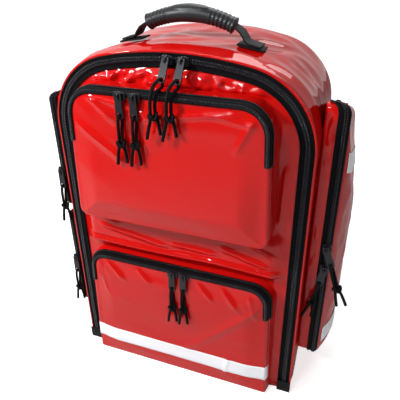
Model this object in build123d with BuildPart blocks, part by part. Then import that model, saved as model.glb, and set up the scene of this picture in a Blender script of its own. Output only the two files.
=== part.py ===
"""Large tarpaulin trauma backpack with a clamshell front, five zipped outer pockets and two shoulder straps.

Millimetres. X runs towards the side with the single tall pocket, Y from the front cover to the wearer's
back, Z up. The origin is on the base, at the middle of the main compartment.
"""

import os
from math import atan, cos, degrees, pi, radians, sin, sqrt, tan

from build123d import *

os.makedirs("parts", exist_ok=True)

# Main compartment: an arch-shaped front, deepest at the side pockets and drawn in at the back.
zip_half_width = 174.0
zip_top = 520.0
crown_radius = 475.0
shoulder_radius = 95.0
foot_radius = 5.0
front_y = -98.0
back_y = 100.0
rim_outside_zip = 8.5
belly_outside_zip = 11.0
rear_outside_zip = 3.0
back_inside_zip = 14.0
belly_rise = 14.0
rear_rise = 16.0
back_rise = 3.0
shell_wall = 4.0

# Zips: a woven tape with its coil on each side of the slit.
tape_width = 10.0
tape_thickness = 2.2
zip_slit = 0.6
pocket_tape_thickness = 1.2
pocket_tape_width = 9.0

# Front cover, hinged along the bottom front edge.
cover_thickness = 5.0
cover_lift = 0.3
cover_clearance = 0.3
cover_seam_gap = 1.0

# Pockets.
pocket_wall = 3.0
flap_lip = 6.0
flap_gap = 0.4
upper_pocket_depth = 41.0
upper_pocket_foot = 294.0
upper_pocket_top = 487.0
upper_pocket_half_foot = 141.0
upper_pocket_half_top = 134.0
upper_pocket_corner = 38.0
upper_pocket_foot_corner = 14.0
upper_fold_z = 410.0

lower_pocket_top = 218.0
lower_pocket_half_back = 152.0
lower_pocket_half_top = 143.0
lower_pocket_half_foot = 149.0
lower_pocket_corner = 30.0
lower_pocket_depth_top = 28.0
lower_pocket_depth_foot = 21.0
lower_fold_z = 160.0
stripe_foot = 34.0
stripe_height = 28.0
stripe_thickness = 0.6
stripe_edge_gap = 1.0

side_pocket_front = -74.0
side_pocket_rear = 75.0
side_pocket_front_stand = 40.0
side_pocket_rear_stand = 32.0
side_pocket_bulge_stand = 57.0
side_pocket_top_drop = 50.0
side_pocket_taper = 160.0
side_pocket_straight = 30.0
side_pocket_corner = 16.0
side_pocket_front_reach = zip_half_width + side_pocket_front_stand
side_pocket_rear_reach = zip_half_width + side_pocket_rear_stand
side_pocket_bulge = zip_half_width + side_pocket_bulge_stand
side_pocket_bulge_y = -4.0
side_pocket_clearance = 0.3
right_pocket_span = (70.0, 480.0)
left_upper_pocket_span = (262.0, 455.0)
left_lower_pocket_span = (58.0, 255.0)
right_strip_feet = (90.0, 388.0)

# Zip sliders, their pull tabs and the cord knotted through each tab.
slider_length = 16.0
slider_width = 13.0
slider_height = 4.2
slider_round = 3.0
slider_clearance = 0.3
tab_round = 5.2
bail_size = 3.0
bail_slot = 4.0
bail_height = 4.2
tab_width = 11.0
tab_length = 34.0
tab_thickness = 2.0
tab_inset = 5.5
tab_hole_radius = 2.9
cord_diameter = 4.2
main_slider_x = (-6.0, 15.0)
main_tab_slope = 35.0
upper_slider_x = (-54.0, -34.0)
lower_slider_x = (-1.0, 17.0)
right_slider_z = (274.0, 240.0)
right_pull_leans = (0.36, -0.18)
left_upper_slider_z = 325.0
left_lower_slider_z = 155.0
top_zip_inset = 5.0

# Carry handle.
handle_y = -38.0
handle_tab_span = (66.0, 100.0)
handle_webbing_width = 25.0
handle_webbing_thickness = 2.0
handle_grip_half = 58.0
handle_grip_height = 41.5
handle_grip_rise = 13.0
handle_grip_radius = 11.0
handle_grip_half_width = 13.0
handle_foot_reach = 6.0
handle_knee_out = 5.0
handle_knee_rise = 9.0
handle_seat_gap = 0.3

# Back of the bag.
back_pad_thickness = 8.0
back_pad_gap = 0.2
back_pad_round = 12.0
back_pad_half_width = 140.0
back_pad_half_channel = 12.0
lumbar_pad_span = (50.0, 136.0)
upper_pad_span = (150.0, 430.0)
strap_x = 76.0
strap_width = 62.0
strap_thickness = 14.0
strap_top = 472.0
strap_bottom = 205.0
strap_bow = 52.0
strap_bow_rise = 25.0
strap_bottom_stand = 30.0
strap_web_width = 25.0
strap_web_thickness = 2.0
strap_anchor_x = 128.0
strap_anchor_z = 24.0
strap_axis_stand = 4.0
anchor_thickness = 3.0
anchor_height = 26.0
anchor_below_web = 4.0
strap_seam_gap = 0.3
lock_width = 34.0
lock_height = 30.0
lock_depth = 7.0
lock_round = 4.0
lock_slot_height = 6.0
lock_slot_pitch = 12.0
lock_slot_play = 1.2

# Inside.
board_edge_gap = 2.0
board_thickness = 3.0
board_gap = 0.3
board_side_gap = 8.0
board_corner = 10.0
shelf_z = 262.0
shelf_thickness = 4.0


def crown_drop(half_width, radius):
    """How far the crowned top falls between the middle and half_width."""
    return radius - sqrt(radius**2 - half_width**2)


def arch_face(half_width, top, foot=0.0, grow=0.0, foot_round=foot_radius):
    """Arch outline: straight sides, rounded shoulders and a crowned top, grown outwards by grow."""
    w = half_width + grow
    z = top + grow
    bottom = foot - grow
    shoulder = z - crown_drop(w, crown_radius)
    with BuildSketch(mode=Mode.PRIVATE) as outline:
        with BuildLine():
            Polyline((-w, shoulder), (-w, bottom), (w, bottom), (w, shoulder))
            ThreePointArc((w, shoulder), (0, z), (-w, shoulder))
        make_face()
        fillet(outline.vertices().group_by(Axis.Y)[-1], shoulder_radius + grow)
        fillet(outline.vertices().group_by(Axis.Y)[0], foot_round)
    return outline.sketch


def upright(y):
    """Plane facing the front at depth y, with its own x along X and its own y along Z."""
    return Plane.XZ.offset(-y)


# Stations of the main compartment: depth, half-width and top.
stations = [
    (front_y, zip_half_width + rim_outside_zip, zip_top + rim_outside_zip),
    (side_pocket_front, zip_half_width + belly_outside_zip, zip_top + belly_rise),
    (side_pocket_rear, zip_half_width + rear_outside_zip, zip_top + rear_rise),
    (back_y, zip_half_width - back_inside_zip, zip_top + back_rise),
]


def station_at(y):
    """Half-width and top of the compartment at depth y, straight between its stations."""
    for (y0, w0, t0), (y1, w1, t1) in zip(stations, stations[1:]):
        if y <= y1:
            share = (y - y0) / (y1 - y0)
            return w0 + share * (w1 - w0), t0 + share * (t1 - t0)
    return stations[-1][1:]


def centred_box(x_span, y_span, z_span, mode=Mode.ADD):
    """Box between three spans, for use inside a part."""
    size = [high - low for low, high in (x_span, y_span, z_span)]
    middle = [(high + low) / 2 for low, high in (x_span, y_span, z_span)]
    with Locations(tuple(middle)):
        Box(*size, mode=mode)


def layer(outer, inner):
    """What lies between two solids, one inside the other."""
    with BuildPart() as between:
        add(outer)
        add(inner, mode=Mode.SUBTRACT)
    return between.part


def finish(part, name):
    part.label = name
    export_step(part, "parts/" + name + ".step")


far = 400.0
half_slit = zip_slit / 2
cover_half_width = zip_half_width - cover_seam_gap
cover_back_y = front_y + cover_thickness


# ---------------------------------------------------------------- main compartment
with BuildPart() as shell_cavity:
    cavity_back = back_y - shell_wall
    for depth in (front_y - 1.0, side_pocket_front, side_pocket_rear, cavity_back):
        half, top = station_at(max(depth, front_y))
        with BuildSketch(upright(depth)):
            add(arch_face(half, top, grow=-shell_wall))
    loft(ruled=True)

with BuildPart() as main_shell:
    for depth, half, top in stations:
        with BuildSketch(upright(depth)):
            add(arch_face(half, top))
    loft(ruled=True)
    add(shell_cavity.part, mode=Mode.SUBTRACT)
    # The floor stops short of the mouth, so that the cover can turn down in front of it.
    mouth_half = stations[0][1] - shell_wall
    floor_edge = cover_back_y + cover_clearance
    centred_box((-mouth_half, mouth_half), (front_y - 1.0, floor_edge), (-1.0, shell_wall + 1.0), Mode.SUBTRACT)
finish(main_shell.part, "main_shell")


def arch_band(inner_grow, outer_grow, y_span, foot):
    """Band that follows the main zip, between two offsets of its centre line, open at the foot."""
    with BuildPart() as band:
        for grow, mode in ((outer_grow, Mode.ADD), (inner_grow, Mode.SUBTRACT)):
            with BuildSketch(upright(y_span[1])):
                add(arch_face(zip_half_width, zip_top, foot=-shoulder_radius, grow=grow))
            extrude(amount=y_span[1] - y_span[0], mode=mode)
        centred_box((-far, far), (y_span[0] - 1, y_span[1] + 1), (-far, foot), Mode.SUBTRACT)
    return band.part


tape_y = (front_y - tape_thickness, front_y)
finish(arch_band(half_slit, rim_outside_zip - 0.5, tape_y, 0.5), "main_zip_body_tape")
finish(arch_band(-tape_width, -half_slit, tape_y, cover_lift + 0.5), "main_zip_cover_tape")

with BuildPart() as base_board:
    board_half = zip_half_width - board_side_gap
    board_z = shell_wall + board_gap
    board_depth = (floor_edge + board_edge_gap, side_pocket_rear)
    centred_box((-board_half, board_half), board_depth, (board_z, board_z + board_thickness))
    fillet(base_board.edges().filter_by(Axis.Z), board_corner)
finish(base_board.part, "base_board")

shelf_inset = shell_wall + board_gap
shelf_rows = [(y, station_at(y)[0] - shelf_inset) for y in (side_pocket_front, side_pocket_rear)]
shelf_rows.append((cavity_back - board_gap, station_at(cavity_back)[0] - shelf_inset))
with BuildPart() as divider_shelf:
    with BuildSketch(Plane.XY.offset(shelf_z)):
        with BuildLine():
            right_edge = [(half, y) for y, half in shelf_rows]
            left_edge = [(-half, y) for y, half in reversed(shelf_rows)]
            Polyline(*right_edge, *left_edge, close=True)
        make_face()
    extrude(amount=shelf_thickness)
finish(divider_shelf.part, "divider_shelf")

# ---------------------------------------------------------------- front cover and its pockets
with BuildPart() as cover_panel:
    with BuildSketch(upright(cover_back_y)):
        add(arch_face(cover_half_width, zip_top - cover_seam_gap, foot=cover_lift))
    extrude(amount=cover_thickness)
finish(cover_panel.part, "cover_panel")


def upper_pocket_block(grow=0.0):
    """Solid outline of the upper front pocket, grown outwards on all sides but its back."""
    foot_half = upper_pocket_half_foot + grow
    top_half = upper_pocket_half_top + grow
    foot = upper_pocket_foot - grow
    top = upper_pocket_top + grow
    with BuildPart() as block:
        with BuildSketch(upright(front_y)) as outline:
            with BuildLine():
                Polyline((-foot_half, foot), (foot_half, foot), (top_half, top), (-top_half, top), close=True)
            make_face()
            fillet(outline.vertices().group_by(Axis.Y)[-1], upper_pocket_corner + grow)
            fillet(outline.vertices().group_by(Axis.Y)[0], upper_pocket_foot_corner + grow)
        extrude(amount=upper_pocket_depth + grow)
    return block.part


def lower_pocket_block(grow=0.0):
    """Solid outline of the lower front pocket, a little wider and flatter at its foot than at its zip."""
    back = lower_pocket_half_back + grow
    foot_z = cover_lift + max(0.0, -grow)
    top_z = lower_pocket_top + grow
    rows = (
        (foot_z, lower_pocket_half_foot, lower_pocket_depth_foot),
        (top_z, lower_pocket_half_top, lower_pocket_depth_top),
    )
    with BuildPart() as block:
        for z, half, depth in rows:
            face = half + grow
            out = front_y - depth - grow
            with BuildSketch(Plane.XY.offset(z)):
                with BuildLine():
                    Polyline((-back, front_y), (back, front_y), (face, out), (-face, out), close=True)
                make_face()
        loft(ruled=True)
        with BuildSketch(upright(front_y)) as outline:
            with BuildLine():
                Polyline((-back, foot_z), (back, foot_z), (back, top_z), (-back, top_z), close=True)
            make_face()
            fillet(outline.vertices().group_by(Axis.Y)[-1], lower_pocket_corner + grow)
        extrude(amount=far, mode=Mode.INTERSECT)
    return block.part


def side_pocket_block(span, side, grow=0.0):
    """Solid outline of a side pocket: flat front gusset, bowed outer face, straight against the bag."""
    inset = max(0.0, -grow)
    front = side_pocket_front - grow
    rear = side_pocket_rear + grow
    inner_front = station_at(side_pocket_front)[0] + side_pocket_clearance + inset
    inner_rear = station_at(side_pocket_rear)[0] + side_pocket_clearance + inset
    front_reach = side_pocket_front_reach + grow
    rear_reach = side_pocket_rear_reach + grow
    bulge = side_pocket_bulge + grow
    with BuildPart() as block:
        with BuildSketch(Plane.XY.offset(span[0] - grow)):
            with BuildLine():
                Polyline(
                    (side * front_reach, front),
                    (side * inner_front, front),
                    (side * inner_rear, rear),
                    (side * rear_reach, rear),
                )
                ThreePointArc(
                    (side * rear_reach, rear), (side * bulge, side_pocket_bulge_y), (side * front_reach, front)
                )
            make_face()
        extrude(amount=span[1] - span[0] + 2 * grow)
        foot, top = span[0] - far, span[1] + grow
        fall = side_pocket_top_drop / (side_pocket_rear - side_pocket_front)
        with BuildSketch(Plane.YZ.offset(-far)):
            with BuildLine():
                Polyline(
                    (-far, foot), (far, foot), (far, top - fall * (far - front)), (front, top), (-far, top),
                    close=True,
                )
            make_face()
        extrude(amount=2 * far, mode=Mode.INTERSECT)
        with BuildSketch(upright(far)) as face_line:
            with BuildLine():
                Polyline(
                    (0, foot), (side * bulge, foot), (side * bulge, top - side_pocket_taper),
                    (side * front_reach, top - side_pocket_straight), (side * front_reach, top), (0, top),
                    close=True,
                )
            make_face()
            corners = face_line.vertices().group_by(Axis.Y)[-1].sort_by(Axis.X)
            fillet(corners[-1] if side > 0 else corners[0], side_pocket_corner + grow)
        extrude(amount=2 * far, mode=Mode.INTERSECT)
    return block.part


fold_clear = flap_gap / 2
upper_face_y = front_y - upper_pocket_depth
upper_lip_y = upper_face_y + flap_lip
lower_face_share = (lower_fold_z - cover_lift) / (lower_pocket_top - cover_lift)
lower_fold_depth = lower_pocket_depth_foot + lower_face_share * (lower_pocket_depth_top - lower_pocket_depth_foot)
lower_fold_y = front_y - lower_fold_depth
lower_lip_y = lower_fold_y + flap_lip


def front_pocket(block, lip_y, fold_z, name):
    """Tray fixed to the cover, and the flap that folds down above fold_z, from one hollow block."""
    hollow = layer(block(), block(-pocket_wall))
    with BuildPart() as tray:
        add(hollow)
        centred_box((-far, far), (-far, lip_y + flap_gap), (fold_z - fold_clear, far * 2), Mode.SUBTRACT)
    finish(tray.part, name + "_pocket_tray")
    with BuildPart() as flap:
        add(hollow)
        centred_box((-far, far), (-far, lip_y), (fold_z + fold_clear, far * 2), Mode.INTERSECT)
    finish(flap.part, name + "_pocket_flap")


def front_pocket_tapes(block, half, top, corner, lip_y, fold_z):
    """The two zip tapes of a front pocket: one on the tray's gusset, one round the edge of the flap."""
    skin = layer(block(pocket_tape_thickness), block())
    window_half = half - pocket_tape_width
    window_top = top - pocket_tape_width
    with BuildPart() as window:
        with BuildSketch(upright(lip_y)) as outline:
            with BuildLine():
                Polyline(
                    (-window_half, 0), (window_half, 0), (window_half, window_top), (-window_half, window_top),
                    close=True,
                )
            make_face()
            fillet(outline.vertices().group_by(Axis.Y)[-1], corner - pocket_tape_width)
        extrude(amount=far)
    with BuildPart() as tray_tape:
        add(skin)
        tape_span = (lip_y + flap_gap, lip_y + flap_gap + pocket_tape_width)
        centred_box((-far, far), tape_span, (fold_z, far * 2), Mode.INTERSECT)
    with BuildPart() as flap_tape:
        add(skin)
        centred_box((-far, far), (-far, lip_y), (fold_z + pocket_tape_thickness, far * 2), Mode.INTERSECT)
        add(window.part, mode=Mode.SUBTRACT)
    return tray_tape.part, flap_tape.part


front_pocket(upper_pocket_block, upper_lip_y, upper_fold_z, "upper")
front_pocket(lower_pocket_block, lower_lip_y, lower_fold_z, "lower")
upper_tray_tape, upper_flap_tape = front_pocket_tapes(
    upper_pocket_block, upper_pocket_half_top, upper_pocket_top, upper_pocket_corner, upper_lip_y, upper_fold_z
)
lower_tray_tape, lower_flap_tape = front_pocket_tapes(
    lower_pocket_block, lower_pocket_half_top, lower_pocket_top, lower_pocket_corner, lower_lip_y, lower_fold_z
)
with BuildPart() as front_pocket_zip_tapes:
    add(upper_tray_tape)
    add(lower_tray_tape)
finish(front_pocket_zip_tapes.part, "front_pocket_zip_tapes")
finish(upper_flap_tape, "upper_flap_zip_tape")
finish(lower_flap_tape, "lower_flap_zip_tape")

stripe_skin = layer(lower_pocket_block(stripe_thickness), lower_pocket_block())
with BuildPart() as front_reflective_stripe:
    add(stripe_skin)
    centred_box((-far, far), (-far, front_y), (stripe_foot, stripe_foot + stripe_height), Mode.INTERSECT)
finish(front_reflective_stripe.part, "front_reflective_stripe")

# ---------------------------------------------------------------- side pockets
slant = (side_pocket_front_reach - side_pocket_rear_reach) / (side_pocket_rear - side_pocket_front)
cut_front = side_pocket_front_reach - pocket_wall - 0.5
cut_rear = side_pocket_rear_reach - pocket_wall - 0.5


def outside_cut(side, shift):
    """Everything outside the slit between a side pocket's tray and flap, moved outwards by shift."""
    reach = 30.0
    with BuildPart() as region:
        with BuildSketch(Plane.XY.offset(-far)):
            with BuildLine():
                Polyline(
                    (side * (cut_front + shift + slant * reach), side_pocket_front - reach),
                    (side * far, side_pocket_front - reach),
                    (side * far, side_pocket_rear + reach),
                    (side * (cut_rear + shift - slant * reach), side_pocket_rear + reach),
                    close=True,
                )
            make_face()
        extrude(amount=3 * far)
    return region.part


def side_pocket(span, side, name):
    """Tray sewn to the bag's side, the bowed flap hinged at its rear edge, and the flap's zip tape."""
    solid = side_pocket_block(span, side)
    hollow = layer(solid, side_pocket_block(span, side, -pocket_wall))
    skin = layer(side_pocket_block(span, side, pocket_tape_thickness), solid)
    flap_region = outside_cut(side, 0.0)
    tray = layer(hollow, outside_cut(side, -flap_gap))
    finish(tray, name + "_pocket_tray")
    with BuildPart() as flap:
        add(hollow)
        add(flap_region, mode=Mode.INTERSECT)
    finish(flap.part, name + "_pocket_flap")
    with BuildPart() as flap_tape:
        add(skin)
        add(flap_region, mode=Mode.INTERSECT)
        tape_rear = side_pocket_front + pocket_tape_width
        centred_box((-far, far), (-far, tape_rear), (span[0], span[1]), Mode.INTERSECT)
    finish(flap_tape.part, name + "_flap_zip_tape")


def side_tray_tape(span, side):
    """Zip tape along a side pocket's front gusset."""
    outer = side * (cut_front - flap_gap)
    inner = side * (cut_front - flap_gap - pocket_tape_width)
    with BuildPart() as tape:
        y_span = (side_pocket_front - pocket_tape_thickness, side_pocket_front)
        z_span = (span[0], span[1] - side_pocket_corner / 2)
        centred_box((min(inner, outer), max(inner, outer)), y_span, z_span)
    return tape.part


side_pocket(right_pocket_span, 1, "right")
side_pocket(left_upper_pocket_span, -1, "left_upper")
side_pocket(left_lower_pocket_span, -1, "left_lower")
side_tapes = (
    side_tray_tape(right_pocket_span, 1),
    side_tray_tape(left_upper_pocket_span, -1),
    side_tray_tape(left_lower_pocket_span, -1),
)
with BuildPart() as side_pocket_zip_tapes:
    for tape in side_tapes:
        add(tape)
finish(side_pocket_zip_tapes.part, "side_pocket_zip_tapes")

strip_skin = layer(
    side_pocket_block(right_pocket_span, 1, stripe_thickness), side_pocket_block(right_pocket_span, 1)
)
with BuildPart() as side_reflective_strips:
    add(strip_skin)
    strip_front = side_pocket_front + pocket_tape_width + stripe_edge_gap
    centred_box((cut_rear, far), (strip_front, side_pocket_rear - stripe_edge_gap), (0.0, far * 2), Mode.INTERSECT)
    strip_low, strip_high = right_strip_feet
    centred_box((0, far), (-far, far), (0, strip_low), Mode.SUBTRACT)
    centred_box((0, far), (-far, far), (strip_low + stripe_height, strip_high), Mode.SUBTRACT)
    centred_box((0, far), (-far, far), (strip_high + stripe_height, far * 2), Mode.SUBTRACT)
finish(side_reflective_strips.part, "side_reflective_strips")


# ---------------------------------------------------------------- zip sliders and pulls
def slider_and_tab(seat, along_x, slope, lean, name):
    """Slider on the zip at seat, facing the front, with its pull tab hung from the bail.

    slope tips the tab's foot forwards and lean swings it sideways. Returns the middle of the cord's hole.
    """
    across, along = (slider_length, slider_width) if along_x else (slider_width, slider_length)
    x, y, z = seat
    base_y = y - slider_clearance
    reach = bail_height / 2 + tab_inset * sin(radians(slope))
    with BuildPart() as slider:
        with BuildSketch(Plane(origin=(x, base_y, z), x_dir=(1, 0, 0), z_dir=(0, -1, 0))):
            RectangleRounded(across, along, slider_round)
        extrude(amount=slider_height)
        with BuildSketch(Plane(origin=(x, base_y - slider_height, z), x_dir=(1, 0, 0), z_dir=(0, -1, 0))):
            Rectangle(bail_size, bail_size)
        extrude(amount=reach + bail_height / 2)
    tip = radians(slope)
    swing = atan(lean)
    tab_plane = Plane(
        origin=(x, base_y - slider_height - reach, z),
        x_dir=(cos(swing), 0, sin(swing)),
        z_dir=(-sin(swing) * sin(tip), -cos(tip), cos(swing) * sin(tip)),
    )
    drop = tab_length - 2 * tab_inset
    with BuildPart() as tab:
        with BuildSketch(tab_plane.offset(-tab_thickness / 2)):
            with Locations((0, -drop / 2)):
                RectangleRounded(tab_width, tab_length, tab_round)
            Rectangle(bail_slot, bail_slot / cos(tip) + 1.0, rotation=-degrees(swing), mode=Mode.SUBTRACT)
            with Locations((0, -drop)):
                Circle(tab_hole_radius, mode=Mode.SUBTRACT)
        extrude(amount=tab_thickness)
    with BuildPart() as both:
        add(slider.part)
        add(tab.part)
    finish(both.part, name)
    return tab_plane.origin - tab_plane.y_dir * drop


# Routes of the pull cords: sideways, forwards and down, from the tab's hole. The cord goes through
# the hole once, and its two legs hang side by side to their cut ends.
hanging_cord = [
    (-7.2, 3.6, 66.0),
    (-5.2, 4.2, 52.0),
    (-2.5, 3.2, 37.5),
    (-2.6, 4.1, 22.5),
    (-1.8, 4.1, 11.0),
    (0.0, 4.1, 0.7),
    (0.0, -4.1, 0.7),
    (1.8, -3.5, 11.0),
    (2.6, 0.4, 22.0),
    (2.5, 2.4, 36.5),
    (5.2, 1.4, 50.5),
    (6.2, 2.2, 63.0),
]
# The main zip's pulls lie over the top of the upper pocket and hang down its face.
draped_cord = [
    (-9.0, 29.6, 66.0),
    (-6.0, 30.6, 53.5),
    (-2.4, 29.6, 40.5),
    (-2.5, 30.4, 27.0),
    (-2.4, 29.2, 13.0),
    (-2.2, 21.8, 2.6),
    (-0.8, 12.0, -0.4),
    (0.0, 3.9, -2.2),
    (0.0, -2.9, 3.0),
    (0.6, -1.4, 9.0),
    (2.2, 8.0, 9.0),
    (2.4, 20.2, 9.2),
    (2.8, 24.8, 20.0),
    (2.5, 26.0, 34.0),
    (6.0, 25.4, 47.5),
    (8.0, 26.2, 60.0),
]


def pull_cord(hole, route, lean, name):
    """Cord tube through the tab's hole, of straight runs joined by tangent arcs."""
    points = [Vector(hole.X + side + lean * down, hole.Y - out, hole.Z - down) for side, out, down in route]
    runs = [b - a for a, b in zip(points, points[1:])]
    radii = []
    for before, after in zip(runs, runs[1:]):
        turn = radians(before.get_angle(after))
        radii.append(0.45 * min(before.length, after.length) / tan(turn / 2))
    with BuildPart() as cord:
        with BuildLine() as path:
            FilletPolyline(*points, radius=radii)
        with BuildSketch(Plane(origin=points[0], z_dir=runs[0])):
            Circle(cord_diameter / 2)
        sweep(path=path.line)
    length = sum(edge.length for edge in path.edges())
    print(name, "length", round(length, 1), "radii", [round(r, 1) for r in radii])
    section = pi * cord_diameter**2 / 4
    print("  volume over section x length:", round(cord.part.volume / (section * length), 4))
    finish(cord.part, name)


def zip_pull(seat, along_x, name, slope=0.0, lean=0.0, route=hanging_cord):
    hole = slider_and_tab(seat, along_x, slope, lean, name + "_slider")
    pull_cord(hole, route, lean, name + "_pull_cord")


crown_centre_z = zip_top - crown_radius
main_tape_face = front_y - tape_thickness
for x, side in zip(main_slider_x, ("left", "right")):
    z = crown_centre_z + sqrt(crown_radius**2 - x**2)
    zip_pull((x, main_tape_face, z), True, "main_" + side, slope=main_tab_slope, route=draped_cord)
upper_tape_face = upper_face_y - pocket_tape_thickness
for x, side in zip(upper_slider_x, ("left", "right")):
    zip_pull((x, upper_tape_face, upper_pocket_top - top_zip_inset), True, "upper_pocket_" + side)
lower_tape_face = front_y - lower_pocket_depth_top - pocket_tape_thickness
for x, side in zip(lower_slider_x, ("left", "right")):
    zip_pull((x, lower_tape_face, lower_pocket_top - top_zip_inset), True, "lower_pocket_" + side)
side_tape_face = side_pocket_front - pocket_tape_thickness
side_slit_x = cut_front
for z, lean, place in zip(right_slider_z, right_pull_leans, ("upper", "lower")):
    zip_pull((side_slit_x, side_tape_face, z), False, "right_pocket_" + place, lean=lean)
zip_pull((-side_slit_x, side_tape_face, left_upper_slider_z), False, "left_upper_pocket")
zip_pull((-side_slit_x, side_tape_face, left_lower_slider_z), False, "left_lower_pocket")

# ---------------------------------------------------------------- carry handle
handle_half, handle_top_z = station_at(handle_y)
with BuildPart() as handle_anchor_tabs:
    for grow, mode in ((handle_webbing_thickness + handle_seat_gap, Mode.ADD), (handle_seat_gap, Mode.SUBTRACT)):
        with BuildSketch(upright(handle_y + handle_webbing_width / 2)):
            add(arch_face(handle_half, handle_top_z, grow=grow))
        extrude(amount=handle_webbing_width, mode=mode)
    tab_low, tab_high = handle_tab_span
    centred_box((-far, far), (-far, far), (-far, handle_top_z - shoulder_radius), Mode.SUBTRACT)
    centred_box((-tab_low, tab_low), (-far, far), (-far, far * 2), Mode.SUBTRACT)
    centred_box((tab_high, far), (-far, far), (-far, far * 2), Mode.SUBTRACT)
    centred_box((-far, -tab_high), (-far, far), (-far, far * 2), Mode.SUBTRACT)
finish(handle_anchor_tabs.part, "handle_anchor_tabs")

web_half = handle_webbing_thickness / 2
handle_foot_z = handle_top_z - crown_drop(tab_low, crown_radius) + handle_webbing_thickness + 2 * handle_seat_gap
handle_foot_x = tab_low + handle_foot_reach
grip_end_z = handle_top_z + handle_grip_height - handle_grip_radius - handle_grip_rise
with BuildPart() as handle_webbing:
    for side in (-1, 1):
        foot = (side * handle_foot_x, handle_foot_z + web_half + handle_seat_gap)
        knee = (side * (handle_foot_x + handle_knee_out), handle_foot_z + handle_knee_rise)
        head = (side * (handle_grip_half + web_half + handle_seat_gap), grip_end_z)
        with BuildSketch(upright(handle_y + handle_webbing_width / 2)):
            with BuildLine():
                leg = Polyline((side * (tab_low + 3 * handle_seat_gap), foot[1]), knee, head)
                offset(leg, amount=web_half, side=Side.BOTH, closed=True)
            make_face()
        extrude(amount=handle_webbing_width)
finish(handle_webbing.part, "handle_webbing")

with BuildPart() as handle_grip:
    grip_mid = (0, handle_y, grip_end_z + handle_grip_rise)
    with BuildLine() as grip_line:
        ThreePointArc((-handle_grip_half, handle_y, grip_end_z), grip_mid, (handle_grip_half, handle_y, grip_end_z))
    with BuildSketch(Plane(origin=grip_line.line @ 0, z_dir=grip_line.line % 0)):
        Ellipse(handle_grip_radius, handle_grip_half_width)
    sweep(path=grip_line.line)
finish(handle_grip.part, "handle_grip")

# ---------------------------------------------------------------- back pads and shoulder straps
with BuildPart() as back_pads:
    pad_y = back_y + back_pad_gap
    pad_rows = (
        ((-back_pad_half_width, -back_pad_half_channel), upper_pad_span),
        ((back_pad_half_channel, back_pad_half_width), upper_pad_span),
        ((-back_pad_half_width, back_pad_half_width), lumbar_pad_span),
    )
    for x_span, z_span in pad_rows:
        centred_box(x_span, (pad_y, pad_y + back_pad_thickness), z_span)
    fillet(back_pads.edges().filter_by(Axis.Y), back_pad_round)
finish(back_pads.part, "back_pads")

strap_axis_y = back_y + strap_axis_stand
with BuildPart() as strap_anchors:
    for side in (-1, 1):
        top_x = side * strap_x
        low_x = side * strap_anchor_x
        half = strap_width / 2
        web = strap_web_width / 2
        y_span = (back_y, strap_axis_y + anchor_thickness)
        top_seat = strap_top + strap_seam_gap
        low_seat = strap_anchor_z - anchor_below_web
        centred_box((top_x - half, top_x + half), y_span, (top_seat, top_seat + anchor_height))
        centred_box((low_x - web, low_x + web), y_span, (low_seat - anchor_height / 2, low_seat))
finish(strap_anchors.part, "strap_anchors")


def strap_profile_points(offset_y):
    """Top, middle and bottom of a shoulder strap seen from the side."""
    return (
        (strap_axis_y + offset_y, strap_top),
        (strap_axis_y + strap_bow + offset_y, (strap_top + strap_bottom) / 2 + strap_bow_rise),
        (strap_axis_y + strap_bottom_stand + offset_y, strap_bottom),
    )


for side, name in ((-1, "left"), (1, "right")):
    with BuildPart() as shoulder_strap:
        inner = strap_profile_points(-anchor_thickness)
        outer = strap_profile_points(strap_thickness - anchor_thickness)
        with BuildSketch(Plane.YZ.offset(side * strap_x - strap_width / 2)):
            with BuildLine():
                ThreePointArc(*inner)
                Line(inner[2], outer[2])
                ThreePointArc(outer[2], outer[1], outer[0])
                Line(outer[0], inner[0])
            make_face()
        extrude(amount=strap_width)
        fillet(shoulder_strap.edges().filter_by(Axis.Y), 1.0)
    finish(shoulder_strap.part, name + "_shoulder_strap")

    lock_y = strap_axis_y + strap_bottom_stand + strap_thickness / 2 - anchor_thickness
    lock_top = strap_bottom - strap_seam_gap
    with BuildPart() as ladder_lock:
        with BuildSketch(upright(lock_y + lock_depth / 2)):
            with Locations((side * strap_x, lock_top - lock_height / 2)):
                RectangleRounded(lock_width, lock_height, lock_round)
                with GridLocations(0, lock_slot_pitch, 1, 2):
                    Rectangle(strap_web_width + lock_slot_play, lock_slot_height, mode=Mode.SUBTRACT)
        extrude(amount=lock_depth)
    finish(ladder_lock.part, name + "_ladder_lock")

    anchor_top = strap_anchor_z - anchor_below_web
    with BuildPart() as strap_webbing:
        ends = (
            (lock_top - lock_height - strap_seam_gap, side * strap_x, lock_y),
            (anchor_top + strap_seam_gap, side * strap_anchor_x, strap_axis_y),
        )
        for z, x, y in ends:
            with BuildSketch(Plane.XY.offset(z)):
                with Locations((x, y)):
                    Rectangle(strap_web_width, strap_web_thickness)
        loft(ruled=True)
    finish(strap_webbing.part, name + "_strap_webbing")
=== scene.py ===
"""Red tarpaulin trauma backpack on a white floor, in the CAD frame: X right, Y to the wearer's back, Z up,
base on z = 0. Outlines, profiles and shape functions are in millimetres; Blender is given metres."""

from math import asin, atan2, cos, pi, radians, sin, sqrt, tan

import bpy
from mathutils import Matrix, Vector, noise


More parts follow.
